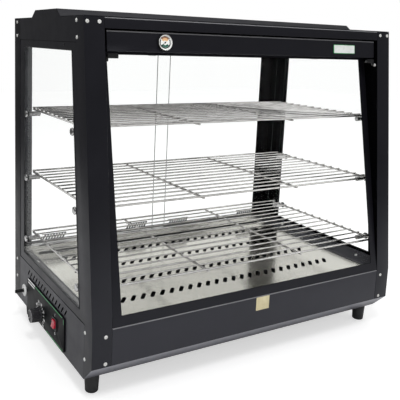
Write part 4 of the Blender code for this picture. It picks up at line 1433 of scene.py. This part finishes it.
# runner clips: mouldings with slanting ribs and open gaps, low on the rear face of each door
clip = {
    "length": 74 * mm,
    "low": 198 * mm,
    "high": 216 * mm,
    "thick": 2.2 * mm,
    "offset": 134 * mm,
    "gap": 0.02 * mm,
    "rim": 0.4 * mm,
    "rail": 1.6 * mm,
    "railRound": 0.6 * mm,
    "ribs": 8,
    "ribPitch": 8.60465 * mm,
    "ribWidth": 4.2 * mm,
    "ribThick": 1.8 * mm,
    "ribRound": 0.5 * mm,
    "slant": 32,
}


def makeClips():
    size = clip
    inside = size["high"] - size["low"] - size["rail"]
    long = inside / math.cos(math.radians(size["slant"]))
    for name in ("left_door", "right_door"):
        low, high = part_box(name)
        bm = bmesh.new()
        for side in (-1, 1):
            x = (low.x + high.x) / 2 + side * size["offset"]
            home = standing((x, high.y + size["gap"], (size["low"] + size["high"]) / 2), (0, 1, 0))
            rail = (size["length"], size["rail"], size["thick"], size["railRound"], size["rim"])
            for edge in (-1, 1):
                merge(bm, roundedPlate(*rail), home @ shifted(0, edge * inside / 2, 0))
            rib = (size["ribWidth"], long, size["ribThick"], size["ribRound"], size["rim"])
            for i in range(size["ribs"]):
                along = size["ribPitch"] * (i - (size["ribs"] - 1) / 2)
                merge(bm, roundedPlate(*rib), home @ shifted(along, 0, 0) @ spun(size["slant"]))
        piece(bm, name + "_clips", ["blackPlastic"], bodyOf[name])


makeClips()
print("door clips made")


# stage: a white room that gloss sees dimmer towards the horizon, and a pale floor
studio = {
    "floorSize": 14.0,
    "floorDrop": 0.6 * mm,
    "floorColour": 0.66,
    "floorGlow": 0.56,
    "sheenNear": 1.1,
    "sheenFar": 3.2,
    "sheenLeast": 0.16,
    "roomLight": 0.7,
    "glossRise": (0.3, 0.9),
    "glossHorizon": 0.12,
    "glossOverhead": 0.45,
}


def makeWorld():
    world = bpy.data.worlds.new("whiteRoom")
    scene.world = world
    world.use_nodes = True
    world.node_tree.nodes.clear()
    facing = added(world, "TexCoord").outputs["Generated"]
    height = added(world, "SeparateXYZ", {0: facing}).outputs["Z"]
    span = (*studio["glossRise"], studio["glossHorizon"], studio["glossOverhead"])
    above = remapped(world, height, *span, interpolation_type="SMOOTHSTEP")
    gloss, light, seen = (
        added(world, "Background", {"Color": (1, 1, 1, 1), "Strength": strength})
        for strength in (above, studio["roomLight"], 1)
    )
    path = added(world, "LightPath").outputs
    shiny = blended(world, path["Is Glossy Ray"], light, gloss)
    direct = worked(world, "MAXIMUM", path["Is Camera Ray"], path["Is Transmission Ray"])
    added(world, "OutputWorld", {"Surface": blended(world, direct, shiny, seen)})


def makeFloor():
    bm = bmesh.new()
    bmesh.ops.create_grid(bm, x_segments=8, y_segments=8, size=studio["floorSize"] / 2)
    bmesh.ops.translate(bm, verts=bm.verts, vec=(0, 0, cadLow.z - studio["floorDrop"]))
    grey = studio["floorColour"]
    made = plainMaterial("studioFloor", (grey, grey, grey), 0.9)
    varyColour(made, grain(made, 0.8), (grey - 0.01,) * 3, (grey + 0.01,) * 3)
    # in reflections the paper is bright near the case and falls off further out
    away = added(made, "VectorMath", {0: objectPlace(made)}, operation="LENGTH").outputs["Value"]
    reach = (studio["sheenNear"], studio["sheenFar"], 0, 1 - studio["sheenLeast"])
    fade = remapped(made, away, *reach, interpolation_type="SMOOTHSTEP")
    path = added(made, "LightPath").outputs
    glossy, through = path["Is Glossy Ray"], path["Is Transmission Ray"]
    mirrored = worked(made, "SUBTRACT", glossy, through, use_clamp=True)
    dark = added(made, "BsdfDiffuse", {"Color": (0, 0, 0, 1)})
    paper = blended(made, worked(made, "MULTIPLY", mirrored, fade), principled(made), dark)
    seen = worked(made, "MAXIMUM", path["Is Camera Ray"], through)
    glow = added(made, "Emission", {"Strength": worked(made, "MULTIPLY", seen, studio["floorGlow"])})
    surfaced(made, added(made, "AddShader", {0: paper, 1: glow}))
    floor = linked(bm, "studioFloor")
    floor.data.materials.append(made)


# the lamps themselves aren't seen in gloss, only the room is
lamps = {
    "key": {"place": (-0.7, -1.5, 2.7), "aim": (0, 0, 0.4), "size": 0.7, "watts": 24},
    "fill": {"place": (2.2, -1.6, 1.4), "aim": (0, 0, 0.4), "size": 1.8, "watts": 7},
    "back": {"place": (0.1, 0.9, 2.5), "aim": (0, 0, 0.4), "size": 2.0, "watts": 10},
}


def makeLamps():
    for name, values in lamps.items():
        data = bpy.data.lights.new(name + "Lamp", "AREA")
        data.shape = "DISK"
        data.size = values["size"]
        data.energy = values["watts"]
        lamp = bpy.data.objects.new(name + "Lamp", data)
        lamp.visible_glossy = False
        scene.collection.objects.link(lamp)
        place = Vector(values["place"])
        turn = (Vector(values["aim"]) - place).to_track_quat("-Z", "Y")
        lamp.matrix_world = Matrix.Translation(place) @ turn.to_matrix().to_4x4()


makeWorld()
makeFloor()
makeLamps()
print("stage lit")
